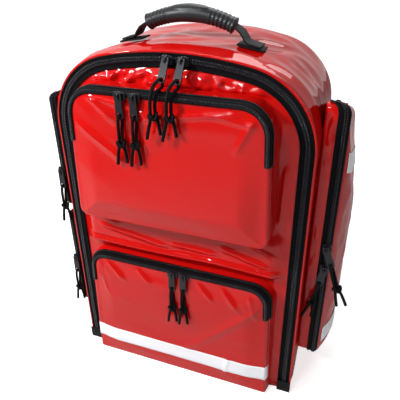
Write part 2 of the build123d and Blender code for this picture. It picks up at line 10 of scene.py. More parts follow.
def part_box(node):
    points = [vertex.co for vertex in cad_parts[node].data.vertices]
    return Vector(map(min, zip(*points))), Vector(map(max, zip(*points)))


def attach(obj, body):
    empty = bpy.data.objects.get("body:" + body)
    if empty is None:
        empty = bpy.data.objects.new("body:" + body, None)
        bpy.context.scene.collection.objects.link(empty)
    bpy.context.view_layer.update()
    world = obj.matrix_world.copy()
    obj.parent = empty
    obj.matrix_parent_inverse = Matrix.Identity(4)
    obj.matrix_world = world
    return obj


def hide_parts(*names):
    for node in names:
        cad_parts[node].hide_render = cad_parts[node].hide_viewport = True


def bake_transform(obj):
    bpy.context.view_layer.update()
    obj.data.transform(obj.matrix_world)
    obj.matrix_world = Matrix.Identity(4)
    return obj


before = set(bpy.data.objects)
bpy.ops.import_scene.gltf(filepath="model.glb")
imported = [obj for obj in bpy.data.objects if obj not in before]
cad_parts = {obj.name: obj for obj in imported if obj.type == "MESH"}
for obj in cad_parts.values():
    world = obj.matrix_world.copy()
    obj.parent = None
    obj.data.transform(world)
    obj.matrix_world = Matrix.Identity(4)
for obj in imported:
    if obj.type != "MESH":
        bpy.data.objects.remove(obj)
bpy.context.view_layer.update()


# ---------------------------------------------------------------- camera
# Three-quarter view from above and to the bag's right, a short telephoto on a square frame.
camera_turn = (
    Matrix.Rotation(radians(21.2), 3, "Z")
    @ Matrix.Rotation(radians(60.5), 3, "X")
    @ Matrix.Rotation(radians(-0.8), 3, "Z")
)
bpy.ops.object.camera_add(location=(0.2422, -0.6391, 0.6571), rotation=camera_turn.to_euler())
camera = bpy.context.object
camera.data.sensor_width = 36
camera.data.lens = 42.9
bpy.context.scene.camera = camera


# ---------------------------------------------------------------- pull cords
# Black woven cord, 4.2 mm thick, doubled through each zip pull's eye and knotted a little past halfway down.
# Each is two legs that leave the eye side by side; the tails below the knot are cut and spread.
def shader(name, color, roughness, **inputs):
    """Principled material with plain values."""
    made = bpy.data.materials.new(name)
    made.use_nodes = True
    surface = made.node_tree.nodes["Principled BSDF"]
    surface.inputs["Base Color"].default_value = (*color, 1)
    surface.inputs["Roughness"].default_value = roughness
    for key, value in inputs.items():
        surface.inputs[key.replace("_", " ")].default_value = value
    return made


def add_bump(made, pattern, strength, distance, **inputs):
    """Bump from one texture in object coordinates, laid over any bump the material has."""
    nodes, links = made.node_tree.nodes, made.node_tree.links
    surface = nodes["Principled BSDF"]
    coordinates = nodes.new("ShaderNodeTexCoord")
    texture = nodes.new(pattern)
    for key, value in inputs.items():
        texture.inputs[key].default_value = value
    links.new(coordinates.outputs["Object"], texture.inputs["Vector"])
    bump = nodes.new("ShaderNodeBump")
    bump.inputs["Strength"].default_value = strength
    bump.inputs["Distance"].default_value = distance
    # A wave texture gives its height second, after its colour. The other patterns give it first.
    height = texture.outputs[1 if pattern == "ShaderNodeTexWave" else 0]
    links.new(height, bump.inputs["Height"])
    before = surface.inputs["Normal"].links
    if before:
        links.new(before[0].from_socket, bump.inputs["Normal"])
    links.new(bump.outputs["Normal"], surface.inputs["Normal"])


cord_black = shader("pull_cord", (0.004, 0.004, 0.005), 0.6, Specular_IOR_Level=0.08)
add_bump(cord_black, "ShaderNodeTexWave", 0.5, 0.0006, Scale=420.0, Distortion=1.5)

CORD_RADIUS = 0.0021
KNOT_WIDE, KNOT_DEEP = 0.0052, 0.0036

# Each leg's route from the eye, as places to the side of it, in front of it and below it, in millimetres.
HANGING = (
    ((0.0, -4.1, 0.7), (0.9, -3.3, 9.0), (1.5, 0.5, 19.0), (2.1, 2.6, 36.5), (5.2, 1.4, 50.5),
     (6.2, 2.2, 63.0)),
    ((0.0, 4.1, 0.7), (-0.9, 4.3, 9.0), (-1.6, 4.0, 19.0), (-2.1, 3.2, 37.5), (-5.2, 4.2, 52.0),
     (-7.2, 3.6, 66.0)),
)
DRAPED = (
    ((0.0, -2.9, 3.0), (0.6, -1.4, 9.0), (1.5, 8.0, 9.0), (1.7, 20.2, 9.2), (1.8, 24.8, 20.0),
     (2.1, 26.0, 34.0), (6.0, 25.4, 47.5), (8.0, 26.2, 60.0)),
    ((0.0, 3.9, -2.2), (-0.8, 12.0, -0.4), (-1.4, 21.8, 2.6), (-1.6, 29.2, 13.0), (-1.9, 30.4, 27.0),
     (-2.4, 29.6, 40.5), (-6.0, 30.6, 53.5), (-9.0, 29.6, 66.0)),
)

# Each pull's eye, how far its cords lean to the side for each millimetre down, and how they hang.
PULLS = {
    "main_left": ((-6.0, -123.15, 501.1), 0.0, DRAPED),
    "main_right": ((15.0, -123.15, 500.9), 0.0, DRAPED),
    "upper_pocket_left": ((-54.0, -146.8, 459.0), 0.0, HANGING),
    "upper_pocket_right": ((-34.0, -146.8, 459.0), 0.0, HANGING),
    "lower_pocket_left": ((-1.0, -133.8, 190.0), 0.0, HANGING),
    "lower_pocket_right": ((17.0, -133.8, 190.0), 0.0, HANGING),
    "right_pocket_upper": ((218.29, -81.8, 252.36), 0.36, HANGING),
    "right_pocket_lower": ((206.43, -81.8, 217.36), -0.18, HANGING),
    "left_upper_pocket": ((-210.5, -81.8, 302.0), 0.0, HANGING),
    "left_lower_pocket": ((-210.5, -81.8, 132.0), 0.0, HANGING),
}


def finish_piece(piece, *materials):
    """Names its mesh, gives it its materials and shades it smooth."""
    piece.data.name = piece.name
    for made in materials:
        piece.data.materials.append(made)
    if piece.type == "MESH":
        for face in piece.data.polygons:
            face.use_smooth = True
    return piece


def add_object(name, data):
    """New object of a mesh or a curve, in the scene."""
    piece = bpy.data.objects.new(name, data)
    bpy.context.collection.objects.link(piece)
    return piece


def place(piece, body, slot, *nodes):
    """Parents a piece to its CAD body, or bakes it where it stands for a blend, and hides the CAD nodes it
    stands for. The argument slot is not used.
    """
    if isinstance(body, str):
        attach(piece, body)
    else:
        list(body)
        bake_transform(piece)
    if nodes:
        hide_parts(*nodes)
    return piece


def tube(name, points, radius):
    """Round tube on one open NURBS spline whose control points are given."""
    line = bpy.data.curves.new(name, "CURVE")
    line.dimensions = "3D"
    spline = line.splines.new("NURBS")
    spline.points.add(len(points) - 1)
    for control, point in zip(spline.points, points):
        control.co = (*point, 1)
    spline.order_u = 3
    spline.use_endpoint_u = True
    spline.resolution_u = 8
    line.bevel_depth = radius
    line.bevel_resolution = 3
    line.use_fill_caps = True
    return add_object(name, line)


for pull, (hole, lean, legs) in PULLS.items():
    node, body = pull + "_pull_cord", pull + "_zip_pull"
    pieces = []
    for leg, route in zip(("front", "rear"), legs):
        start = (hole[0] / 1000, hole[1] / 1000, hole[2] / 1000)
        places = [start] + [
            ((hole[0] + side + lean * down) / 1000, (hole[1] - out) / 1000, (hole[2] - down) / 1000)
            for side, out, down in route
        ]
        cord = finish_piece(tube(f"{node}_{leg}", places, CORD_RADIUS), cord_black)
        length = sum((Vector(b) - Vector(a)).length for a, b in zip(places, places[1:]))
        place(cord, body, "pull_cord", node)
        # The spline cuts the corners of its control points, by about 3 % of their length.
        pieces.append(cord)
    # An overhand knot ties the two legs together, at the third control point from their cut ends.
    middle = sum((Vector(cord.data.splines[0].points[-3].co[:3]) for cord in pieces), Vector()) / 2
    knot_turns = []
    for a in [2 * pi * k / 14 for k in range(19)]:
        lift = KNOT_DEEP * sin(2 * a) + 0.0012 * cos(a)
        knot_turns.append(middle + Vector((KNOT_WIDE * cos(a), KNOT_DEEP * sin(a) - 0.0002, lift)))
    knot = finish_piece(tube(node + "_knot", knot_turns, CORD_RADIUS), cord_black)
    place(knot, body, "pull_cord")


# ---------------------------------------------------------------- red tarpaulin
# High-gloss PVC-coated polyester: a wet-looking coat over slack cloth, with soft dents and fine stiff
# creases. Its inner side is a matt, darker coating.
red = shader("red_tarpaulin", (0.52, 0.004, 0.003), 0.4, Coat_Weight=0.66, Coat_Roughness=0.03,
             Specular_IOR_Level=0.0)
add_bump(red, "ShaderNodeTexNoise", 0.34, 0.008, Scale=9.0, Detail=1.5, Roughness=0.45, Distortion=0.6)
add_bump(red, "ShaderNodeTexNoise", 0.16, 0.002, Scale=42.0, Detail=2.0, Distortion=1.4)
add_bump(red, "ShaderNodeTexNoise", 0.03, 0.0004, Scale=1100.0)
red_inner = shader("red_tarpaulin_inner", (0.36, 0.012, 0.014), 0.5)


# ---------------------------------------------------------------- main compartment
# The bag's body: one soft skin from the zip's edge round the sides, base and back, with rounded rear edges.
# The zip follows an arch of two shoulder curves and one flat crown curve.
CROWN, SHOULDER = 475.0, 95.0
ZIP_HALF, ZIP_TOP = 174.0, 520.0
BODY_WALL, BACK_PLANE = 0.0028, 100.0


def spread(line, count, closed=True):
    """Evenly spaced points on a polyline run anticlockwise, each with its outward direction."""
    ends = line[1:] + line[:1] if closed else line[1:]
    steps = [sqrt((b[0] - a[0]) ** 2 + (b[1] - a[1]) ** 2) for a, b in zip(line, ends)]
    whole, made, k, gone = sum(steps), [], 0, 0.0
    for i in range(count):
        goal = whole * i / (count if closed else count - 1)
        while k < len(steps) - 1 and gone + steps[k] < goal:
            gone += steps[k]
            k += 1
        a, b = line[k], ends[k]
        t = min(1.0, (goal - gone) / max(steps[k], 1e-9))
        made.append((a[0] + (b[0] - a[0]) * t, a[1] + (b[1] - a[1]) * t))
    result = []
    for i, (px, pz) in enumerate(made):
        before = made[i - 1] if closed or i else made[0]
        after = made[(i + 1) % count] if closed or i < count - 1 else made[-1]
        dx, dz = after[0] - before[0], after[1] - before[1]
        length = sqrt(dx * dx + dz * dz)
        result.append((px, pz, dz / length, -dx / length))
    return result


def arch_line(half, top, grow=0.0, foot=0.0):
    """Right foot, up and over the crown to the left foot."""
    w, h, r = half + grow, top + grow, SHOULDER + grow
    x = w - r
    z = (h - CROWN - grow) + sqrt((CROWN - SHOULDER) ** 2 - x * x)
    lean = asin(x / (CROWN - SHOULDER))
    right = [(w, foot + (z - foot) * i / 60) for i in range(60)]
    right += [(x + r * cos(a), z + r * sin(a)) for a in [(pi / 2 - lean) * i / 40 for i in range(40)]]
    right += [((CROWN + grow) * sin(a), h - CROWN - grow + (CROWN + grow) * cos(a))
              for a in [lean * (1 - i / 40) for i in range(41)]]
    return right + [(-px, pz) for px, pz in reversed(right[:-1])]


def arch(half, top, grow=0.0, count=260, corner=8.0):
    """The whole outline, started from the middle of the base."""
    w = half + grow
    base = [((w - corner) * i / 40, 0.0) for i in range(40)]
    base += [(w - corner + corner * sin(a * pi / 12), corner - corner * cos(a * pi / 12)) for a in range(6)]
    side = arch_line(half, top, grow, corner)
    back = [(-px, pz) for px, pz in reversed(base)][:-1]
    return spread(base + side + back, count)


def mesh_piece(name, points, faces, *materials, flip=False):
    """Mesh from points in millimetres."""
    mesh = bpy.data.meshes.new(name)
    if flip:
        faces = [tuple(reversed(face)) for face in faces]
    mesh.from_pydata([(x / 1000, y / 1000, z / 1000) for x, y, z in points], [], faces)
    mesh.validate()
    mesh.update()
    return finish_piece(add_object(name, mesh), *materials)


def grid(rows, closed=False):
    """Points and quads of equal rows of points, each row joined to the next."""
    wide = len(rows[0])
    points = [p for row in rows for p in row]
    faces = []
    for r in range(len(rows) - 1):
        for c in range(wide if closed else wide - 1):
            d = (c + 1) % wide
            faces.append((r * wide + c, r * wide + d, (r + 1) * wide + d, (r + 1) * wide + c))
    return points, faces


def only(piece):
    """Makes one piece the whole selection."""
    bpy.ops.object.select_all(action="DESELECT")
    piece.select_set(True)
    bpy.context.view_layer.objects.active = piece


def apply(piece, kind, **values):
    """Adds one modifier to a piece and applies it."""
    only(piece)
    modifier = piece.modifiers.new(kind.title(), kind)
    for key, value in values.items():
        setattr(modifier, key, value)
    bpy.ops.object.modifier_apply(modifier=modifier.name)


def outward(piece):
    """Turns a closed mesh's normals outwards."""
    only(piece)
    bpy.ops.object.mode_set(mode="EDIT")
    bpy.ops.mesh.select_all(action="SELECT")
    bpy.ops.mesh.normals_make_consistent(inside=False)
    bpy.ops.object.mode_set(mode="OBJECT")


def coated(piece, wall):
    """Gives a tarpaulin skin its wall, with the matt coating on the inside."""
    apply(piece, "SOLIDIFY", thickness=wall, offset=-1, material_offset=1)
    return piece


def ridged(x, y, z, size):
    """Sharp-crested folds, 0 in the hollows and 1 on the crests."""
    return 1 - min(1.0, abs(noise.noise(Vector((x, y, z)) / size)) * 2.4)


def creases(x, z, folds):
    """Sum of straight sharp folds, each from one place to another with its height and its half-width."""
    push = 0.0
    for x0, z0, x1, z1, height, width in folds:
        dx, dz = x1 - x0, z1 - z0
        long = sqrt(dx * dx + dz * dz)
        along = ((x - x0) * dx + (z - z0) * dz) / long
        off = abs((x - x0) * dz - (z - z0) * dx) / long
        if -width < along < long + width and off < width:
            ends = min(1.0, (along + width) / (2 * width), (long + width - along) / (2 * width))
            push += height * ends * (1 - off / width) ** 1.4
    return push


def bend(x, low, high):
    """Smooth step from 0 at low to 1 at high."""
    t = max(0.0, min(1.0, (x - low) / (high - low)))
    return t * t * (3 - 2 * t)


def station(y):
    """Half-width and top of the body at a depth."""
    stops = ((-98.0, 182.5, 528.5), (-74.0, 185.0, 534.0), (75.0, 177.0, 536.0), (100.0, 160.0, 523.0))
    for (y0, w0, t0), (y1, w1, t1) in zip(stops, stops[1:]):
        if y <= y1:
            t = (y - y0) / (y1 - y0)
            return w0 + (w1 - w0) * t, t0 + (t1 - t0) * t
    return stops[-1][1:]


def drape(x, y, z):
    """How far the body's skin stands off its pattern at a place, in millimetres."""
    middle = max(0.0, sin(pi * (y + 98) / 192))
    upper = bend(z, 400, 520)
    push = 1.2 * noise.noise(Vector((x, y, z)) / 52) + 2.8 * (ridged(x, y * 1.9, z * 0.5, 66) - 0.55)
    push -= 2.2 * upper * ridged(x + 31, y, z, 105)
    return push * middle * bend(z, 2, 40)


# The front lip behind the zip, the body's sides, the rounded rear edge, and the back drawn in to a line.
rows = [[(x, -97.4, max(0.2, z)) for x, z, ox, oz in arch(ZIP_HALF, ZIP_TOP, 1.0)],
        [(x, -98.3, max(0.1, z)) for x, z, ox, oz in arch(ZIP_HALF, ZIP_TOP, 7.4)]]
for y in [-97.0 + 4.0 * i for i in range(48)]:
    rows.append([])
    for x, z, ox, oz in arch(*station(y)):
        push = drape(x, y, z)
        rows[-1].append((x + ox * push, y, max(0.0, z + oz * push)))
for inset, y in ((1.2, 95.5), (4.0, 98.6), (9.0, 99.9),
                 *((inset, BACK_PLANE) for inset in (16.0, 30.0, 48.0, 70.0, 95.0, 120.0, 140.0, 152.0))):
    t = inset / 158.0
    rows.append([(x * (1 - t), y, z + (max(150.0, min(390.0, z)) - z) * t)
                 for x, z, ox, oz in arch(*station(95.0))])
points, faces = grid(rows, closed=True)
faces = [tuple(reversed(face)) for face in faces]
# The last row's two sides are joined, each point to the one across.
count = len(rows[0])
last = len(points) - count
faces += [(last + i, last + i + 1, last + count - i - 1, last + count - i) for i in range(1, count // 2 - 1)]
faces.append((last, last + 1, last + count - 1))
body_skin = coated(mesh_piece("body_skin", points, faces, red, red_inner), BODY_WALL)
place(body_skin, "bag", "red_tarpaulin", "main_shell")


def loft(name, rows, *materials, sharp=None):
    """Closed rows of points joined and capped at both ends. Edges past the angle sharp stay sharp."""
    points, faces = grid(rows, closed=True)
    wide = len(rows[0])
    faces += [tuple(range(wide)), tuple(reversed(range(len(points) - wide, len(points))))]
    piece = mesh_piece(name, points, faces, *materials)
    outward(piece)
    if sharp:
        only(piece)
        bpy.ops.object.shade_smooth_by_angle(angle=radians(sharp))
    return piece


def ribbon(name, line, profile, to3d, *materials):
    """A closed profile of (outward, backward) points run along a line."""
    rows = [[to3d(x + ox * grow, z + oz * grow, back) for grow, back in profile] for x, z, ox, oz in line]
    return loft(name, rows, *materials, sharp=40)


def flat_front(x, z, back):
    """The zip's plane on the front of the bag: back is measured from the tape's face."""
    return (x, -100.2 + back, max(0.1, z))


zip_line = spread(arch_line(ZIP_HALF, ZIP_TOP, 0.0, 0.3), 300, closed=False)
# Piping runs round the front rim, a cord wrapped in the same tarpaulin.
round_cord = [(9.3 + 1.9 * cos(a * pi / 5), 1.6 + 1.9 * sin(a * pi / 5)) for a in range(10)]
piping = ribbon("front_piping", zip_line, round_cord, flat_front, red)
place(piping, "bag", "red_tarpaulin")


# ---------------------------------------------------------------- main zip
# Coil zip on 20 mm of woven black tape: a nylon coil on the slit and a stitched raised edge on the inner
# side. One half is sewn to the body, the other to the front cover, and a webbing tab closes each foot.
tape_black = shader("zip_tape", (0.004, 0.004, 0.005), 0.6, Specular_IOR_Level=0.06)
add_bump(tape_black, "ShaderNodeTexWave", 0.35, 0.0004, Scale=330.0, Distortion=0.6)
coil_black = shader("zip_coil", (0.012, 0.013, 0.017), 0.3, Specular_IOR_Level=0.35)

body_edge = [(0.4, 1.6), (0.4, 0.6), (3.4, 0.2), (6.2, 0.3), (7.0, -0.7), (8.1, -0.5), (8.2, 0.8), (7.6, 1.8)]
body_tape = ribbon("main_zip_body_tape", zip_line, body_edge, flat_front, tape_black)
place(body_tape, "bag", "zip_tape", "main_zip_body_tape")
cover_edge = [(-0.4, 1.5), (-0.4, 0.4), (-4.2, 0.2), (-7.2, 0.3), (-7.9, -0.7), (-9.6, -0.8), (-10.3, 0.2),
              (-9.8, 1.8)]
cover_tape = ribbon("main_zip_cover_tape", zip_line, cover_edge, flat_front, tape_black)
place(cover_tape, "front_cover", "zip_tape", "main_zip_cover_tape")

TOOTH_PITCH, TOOTH_HALF = 2.4, 0.75


def teeth(name, line, profile, to3d):
    """Coil loops across a zip, each a short bent bar, one at every pitch along the line."""
    length = sum(sqrt((b[0] - a[0]) ** 2 + (b[1] - a[1]) ** 2) for a, b in zip(line, line[1:]))
    bars = ((-TOOTH_HALF, 0.82), (-TOOTH_HALF * 0.4, 1.0), (TOOTH_HALF * 0.4, 1.0), (TOOTH_HALF, 0.82))
    points, faces, wide = [], [], len(profile)
    for x, z, ox, oz in spread([p[:2] for p in line], int(length / TOOTH_PITCH), closed=False):
        first = len(points)
        for step, small in bars:
            points += [to3d(x + ox * grow - oz * step, z + oz * grow + ox * step, back * small)
                       for grow, back in profile]
        for row in [first + r * wide for r in range(3)]:
            faces += [(row + c, row + (c + 1) % wide, row + wide + (c + 1) % wide, row + wide + c)
                      for c in range(wide)]
        faces.append(tuple(first + c for c in reversed(range(wide))))
        faces.append(tuple(first + 3 * wide + c for c in range(wide)))
    piece = mesh_piece(name, points, faces, coil_black)
    outward(piece)
    return piece


outer_loop = [(0.1, 0.4), (0.1, -1.2), (0.6, -1.7), (2.4, -1.7), (3.3, -1.1), (3.6, 0.4)]
inner_loop = [(-grow, back) for grow, back in outer_loop]
place(teeth("main_zip_body_coil", zip_line, outer_loop, flat_front), "bag", "zip_tape")
place(teeth("main_zip_cover_coil", zip_line, inner_loop, flat_front), "front_cover", "zip_tape")

webbing_black = shader("black_webbing", (0.007, 0.007, 0.008), 0.6, Specular_IOR_Level=0.15)
add_bump(webbing_black, "ShaderNodeTexWave", 0.55, 0.0007, Scale=260.0, Distortion=1.0)


def block(name, size, at, material, round_by=0.0006):
    """Bevelled box, its size and middle in metres."""
    bpy.ops.object.select_all(action="DESELECT")
    bpy.ops.mesh.primitive_cube_add(size=1, calc_uvs=False, location=at)
    piece = bpy.context.object
    piece.name = name
    piece.scale = size
    bpy.ops.object.transform_apply(location=True, rotation=True, scale=True)
    apply(piece, "BEVEL", width=round_by, segments=3)
    return finish_piece(piece, material)


for side, name in ((-1, "left"), (1, "right")):
    tab = block(f"main_zip_{name}_end_tab", (0.021, 0.0014, 0.022), (side * 0.1746, -0.1031, 0.0112),
                webbing_black)
    place(tab, "front_cover", "black_webbing")


# ---------------------------------------------------------------- front cover
# The clamshell's front: one panel inside the zip, bulging below the upper pocket and folded beside it. It
# hinges on a strip of the same cloth along its foot.
COVER_HALF, COVER_TOP, COVER_FOOT = ZIP_HALF - 1.0, ZIP_TOP - 1.0, 0.4
COVER_PLANE, COVER_WALL = -98.4, 0.0034


def cover_top(x):
    """Height of the cover's edge above one place on its foot."""
    inner = COVER_HALF - SHOULDER
    z = (COVER_TOP - CROWN) + sqrt((CROWN - SHOULDER) ** 2 - inner * inner)
    if abs(x) <= CROWN * inner / (CROWN - SHOULDER):
        return COVER_TOP - CROWN + sqrt(CROWN * CROWN - x * x)
    return z + sqrt(max(0.0, SHOULDER ** 2 - (abs(x) - inner) ** 2))


# Straight folds, each from (x, z) to (x, z) with its height and half-width.
COVER_FOLDS = (
    (-128, 262, -20, 246, 4.2, 8), (-10, 252, 60, 250, 3.6, 6), (70, 262, 138, 244, 4.6, 7),
    (96, 286, 146, 262, 4.0, 6), (-140, 282, -96, 268, 3.6, 6), (150, 396, 147, 318, 3.6, 5),
    (158, 372, 152, 300, 2.6, 4), (144, 300, 158, 252, 3.0, 6),
)


def cover_bulge(x, z):
    """How far the cover stands forward of its plane."""
    edge = min(COVER_HALF - abs(x), cover_top(x) - z)
    rim = bend(edge, 9, 34)
    push = rim * 3.0
    between = bend(z, 216, 240) * (1 - bend(z, 280, 300))
    push += rim * between * (6.5 + 1.6 * ridged(x * 0.35, 5, z * 1.7, 42))
    # A welt runs across between the two pockets.
    welt, welt_z = 6.5, z - 233 - 2 * sin(x / 34)
    push += rim * welt * sqrt(max(0.0, 1 - (welt_z / welt) ** 2))
    beside = bend(z, 296, 330) * bend(abs(x), 136, 150)
    push += rim * beside * 4.0 * ridged(x * 1.8, 11, z * 0.5, 40)
    above = bend(edge, 9, 16) * bend(z, 484, 492)
    push += above * (5.5 * ridged(x * 1.1 + 40, 2, z * 1.9, 30) + 3.8 * ridged(x * 1.3, 7, z * 1.1, 14))
    push += rim * creases(x, z, COVER_FOLDS)
    return push + rim * 0.5 * noise.noise(Vector((x, 40, z)) / 30)


rows = []
for v in [j / 189 for j in range(190)]:
    rows.append([])
    for u in [i / 90 - 1 for i in range(181)]:
        # The columns crowd towards the sides, where the edge curves down.
        x = COVER_HALF * (1 if u > 0 else -1) * (1 - (1 - abs(u)) ** 1.6)
        z = COVER_FOOT + (cover_top(x) - COVER_FOOT) * v
        rows[-1].append((x, COVER_PLANE - cover_bulge(x, z), z))
cover = coated(mesh_piece("cover_panel", *grid(rows), red, red_inner), COVER_WALL)
place(cover, "front_cover", "red_tarpaulin", "cover_panel")

rows = [[(x, y, z) for x in range(-168, 169, 8)] for y, z in
        ((-84.0, 1.4), (-89.0, 0.9), (-93.0, 0.7), (-96.0, 1.2), (-98.6, 3.0), (-98.8, 9.0))]
hinge = mesh_piece("cover_hinge_fabric", *grid(rows), red, red, flip=True)
apply(hinge, "SOLIDIFY", thickness=0.0008, offset=0)
place(hinge, ("bag", "front_cover", (0, -0.0905, 0.001), (0, -0.0975, 0.001)), "red_tarpaulin")


# ---------------------------------------------------------------- pocket shapes
# Pockets share a way of making: an outline with rounded corners, gusset rows and a face drawn in to a line.
# All are sewn from the same cloth, with a coil zip between the gusset and the face.
CLOTH = 0.002
FLAP_EDGE = ((-0.2, 6.2), (0.1, 4.0), (-0.1, 2.0), (-1.0, 0.6), (-3.0, -0.4))


def rounded(corners, radii):
    """Outline of a polygon with rounded corners, started midway between the last corner and the first."""
    line = []
    for i, (corner, radius) in enumerate(zip(corners, radii)):
        p = Vector(corner)
        u = (Vector(corners[i - 1]) - p).normalized()
        v = (Vector(corners[(i + 1) % len(corners)]) - p).normalized()
        half = u.angle(v) / 2
        middle = p + (u + v).normalized() * radius / sin(half)
        a, b = p + u * radius / tan(half) - middle, p + v * radius / tan(half) - middle
        turn = a.angle(b)
        line += [tuple(middle + (a * sin(turn * (1 - k / 12)) + b * sin(turn * k / 12)) / sin(turn))
                 for k in range(13)]
    return [((line[0][0] + line[-1][0]) / 2, (line[0][1] + line[-1][1]) / 2)] + line


def closed_middle(first, count, tall):
    """Faces that join the two sides of a ring drawn in to a line, each point to the one across."""
    pole, faces = count // 4 if tall else 0, []
    for i in range(count // 2):
        quad = [first + (pole + k) % count for k in (i, i + 1, -i - 1, -i)]
        if len(set(quad)) > 2:
            faces.append(tuple(dict.fromkeys(quad)))
    return faces


def pocket_skin(name, line, rims, core, steps, to3d, face, *materials, flip=False, tall=False):
    """Rows at (outward, backward) offsets round a rim, then rings drawn in to a core line."""
    rows = [[to3d(a + oa * grow, b + ob * grow, back) for a, b, oa, ob in line] for grow, back in rims]
    inset = -rims[-1][0]
    for k in range(1, steps + 1):
        t = (k / (steps + 0.08)) ** 0.92
        row = []
        for a, b, oa, ob in line:
            a, b = a - oa * inset, b - ob * inset
            ga, gb = core(a, b)
            a, b = a + (ga - a) * t, b + (gb - b) * t
            row.append(to3d(a, b, -face(a, b)))
        rows.append(row)
    points, faces = grid(rows, closed=True)
    faces += closed_middle((len(rows) - 1) * len(line), len(line), tall)
    return mesh_piece(name, points, faces, *materials, flip=flip)


def part_of(line, keep):
    """The run of an outline's points that keep accepts."""
    return [p for p in line if keep(p[0], p[1])]


# ---------------------------------------------------------------- upper front pocket
# A deep box pocket with the zip round its top edge, down to two thirds of its height.
# It widens a little towards its foot.
UPPER_TOP, UPPER_FOOT, UPPER_FRONT = 487, 294, -139.0
UPPER = spread(rounded([(134, UPPER_TOP), (-134, UPPER_TOP), (-141, UPPER_FOOT), (141, UPPER_FOOT)],
                       [38, 38, 14, 14]), 420)


def upper3d(x, z, back):
    """The upper pocket's face plane."""
    return (x, UPPER_FRONT + back, z)


UPPER_FOLDS = (
    (-108, 484, -66, 450, 4.6, 8), (-122, 440, -54, 394, 3.0, 10), (-96, 478, -20, 462, 2.8, 6),
    (-24, 457, 92, 474, 3.0, 7), (60, 470, 118, 462, 2.4, 6), (116, 470, 96, 430, 2.6, 8),
    (-138, 372, -128, 300, 1.6, 8), (-120, 300, -60, 306, 1.4, 7), (40, 300, 122, 304, 1.2, 7),
)


def upper_face(x, z):
    """Puff and folds of the upper pocket's face."""
    edge = min(138 - abs(x), UPPER_TOP - z, z - UPPER_FOOT)
    rim = bend(edge, 3, 40)
    puff = rim * (3.0 + 6.0 * (1 - bend(z, 325, 440)))
    slack = 0.9 * bend(edge, 4, 16) * ridged(x * 0.45 + 12, 30, z * 1.1, 70)
    return 0.6 + puff + slack + bend(edge, 7, 14) * creases(x, z, UPPER_FOLDS)


gusset = []
for grow, y in ((2.0, -97.5), (0.6, -99.5), (0.0, -104.0), (0.7, -112.0), (0.5, -120.0), (0.0, -127.0),
                (-0.3, -132.6)):
    gusset.append([(x + ox * grow, y, z + oz * grow) for x, z, ox, oz in UPPER])
for i in range(1, 6):
    gusset[i] = [(x + 0.9 * noise.noise(Vector((x, y * 2, z)) / 17), y,
                  z + 0.9 * noise.noise(Vector((z, x, y)) / 17)) for x, y, z in gusset[i]]
tray = coated(mesh_piece("upper_pocket_gusset", *grid(gusset, closed=True), red, red_inner), CLOTH)
place(tray, "front_cover", "red_tarpaulin", "upper_pocket_tray")
flap = pocket_skin("upper_pocket_face", UPPER, FLAP_EDGE, lambda x, z: (max(-70.0, min(70.0, x)), 390.0), 52,
                   upper3d, upper_face, red, red_inner)
coated(flap, CLOTH)
place(flap, ("front_cover", "upper_flap", (0, -0.139, 0.406), (0, -0.139, 0.415)), "red_tarpaulin",
      "upper_pocket_flap")

# Profiles of a front pocket's zip: gusset's tape, flap's tape, flap's coil and gusset's coil.
FRONT_ZIP = (
    [(0.2, 6.6), (1.4, 6.6), (1.5, 8.4), (2.2, 9.2), (2.0, 10.6), (0.2, 11.0)],
    [(0.2, 6.0), (1.3, 5.6), (1.4, 1.2), (0.8, -0.8), (-0.6, -1.6), (-4.6, -2.0), (-5.0, -2.6), (-6.2, -2.5),
     (-6.6, -1.4), (-6.0, -0.2), (-2.0, 0.6)],
    [(-0.4, -1.0), (-0.7, -2.7), (-1.6, -3.3), (-3.8, -3.4), (-4.8, -3.0), (-5.1, -1.0)],
    [(1.3, 6.4), (2.4, 6.6), (2.7, 7.6), (2.6, 9.4), (1.3, 10.0)],
)


def pocket_zip(name, line, to3d, profiles, tray, flap, tray_nodes, flap_node):
    """A pocket's zip: the gusset's tape, the flap's tape folded over the edge, and the coil on each."""
    tray_tape, flap_tape, flap_coil, tray_coil = profiles
    place(ribbon(f"{name}_tray_tape", line, tray_tape, to3d, tape_black), tray, "zip_tape", *tray_nodes)
    place(ribbon(f"{name}_flap_tape", line, flap_tape, to3d, tape_black), flap, "zip_tape", flap_node)
    place(teeth(f"{name}_coil", line, flap_coil, to3d), flap, "zip_tape")
    place(teeth(f"{name}_tray_coil", line, tray_coil, to3d), tray, "zip_tape")


pocket_zip("upper_pocket_zip", part_of(UPPER, lambda x, z: z > 412), upper3d, FRONT_ZIP, "front_cover",
           "upper_flap", (), "upper_flap_zip_tape")


# ---------------------------------------------------------------- lower front pocket
# A shallower pocket as wide as the panel at its foot, with a silver reflective band across it. Its left
# foot corner sags further out than its right one.
LOWER_TOP, LOWER_HALF_TOP, LOWER_HALF_FOOT, LOWER_HALF_BACK = 218, 143, 149, 152
LOWER_DEPTH_FOOT, LOWER_DEPTH_GAIN = 21, 7
LOWER = spread(rounded([(LOWER_HALF_TOP, LOWER_TOP), (-LOWER_HALF_TOP, LOWER_TOP), (-155, 0.6),
                        (LOWER_HALF_FOOT, 0.6)], [30, 30, 4, 4]), 420)


def lower3d(x, z, back):
    """The lower pocket's face plane, which leans forward at its top and widens towards the cover."""
    share = max(0.0, min(1.0, z / LOWER_TOP))
    depth, half = LOWER_DEPTH_FOOT + LOWER_DEPTH_GAIN * share, LOWER_HALF_FOOT - 6 * share
    widen = max(0.0, min(1.0, back / depth)) * (LOWER_HALF_BACK / half - 1)
    return (x * (1 + widen), -98.0 - depth + back, max(0.3, z))


def lower_half(z):
    """The face's half-width at a height, on the side that doesn't sag."""
    return LOWER_HALF_FOOT - 6 * z / LOWER_TOP


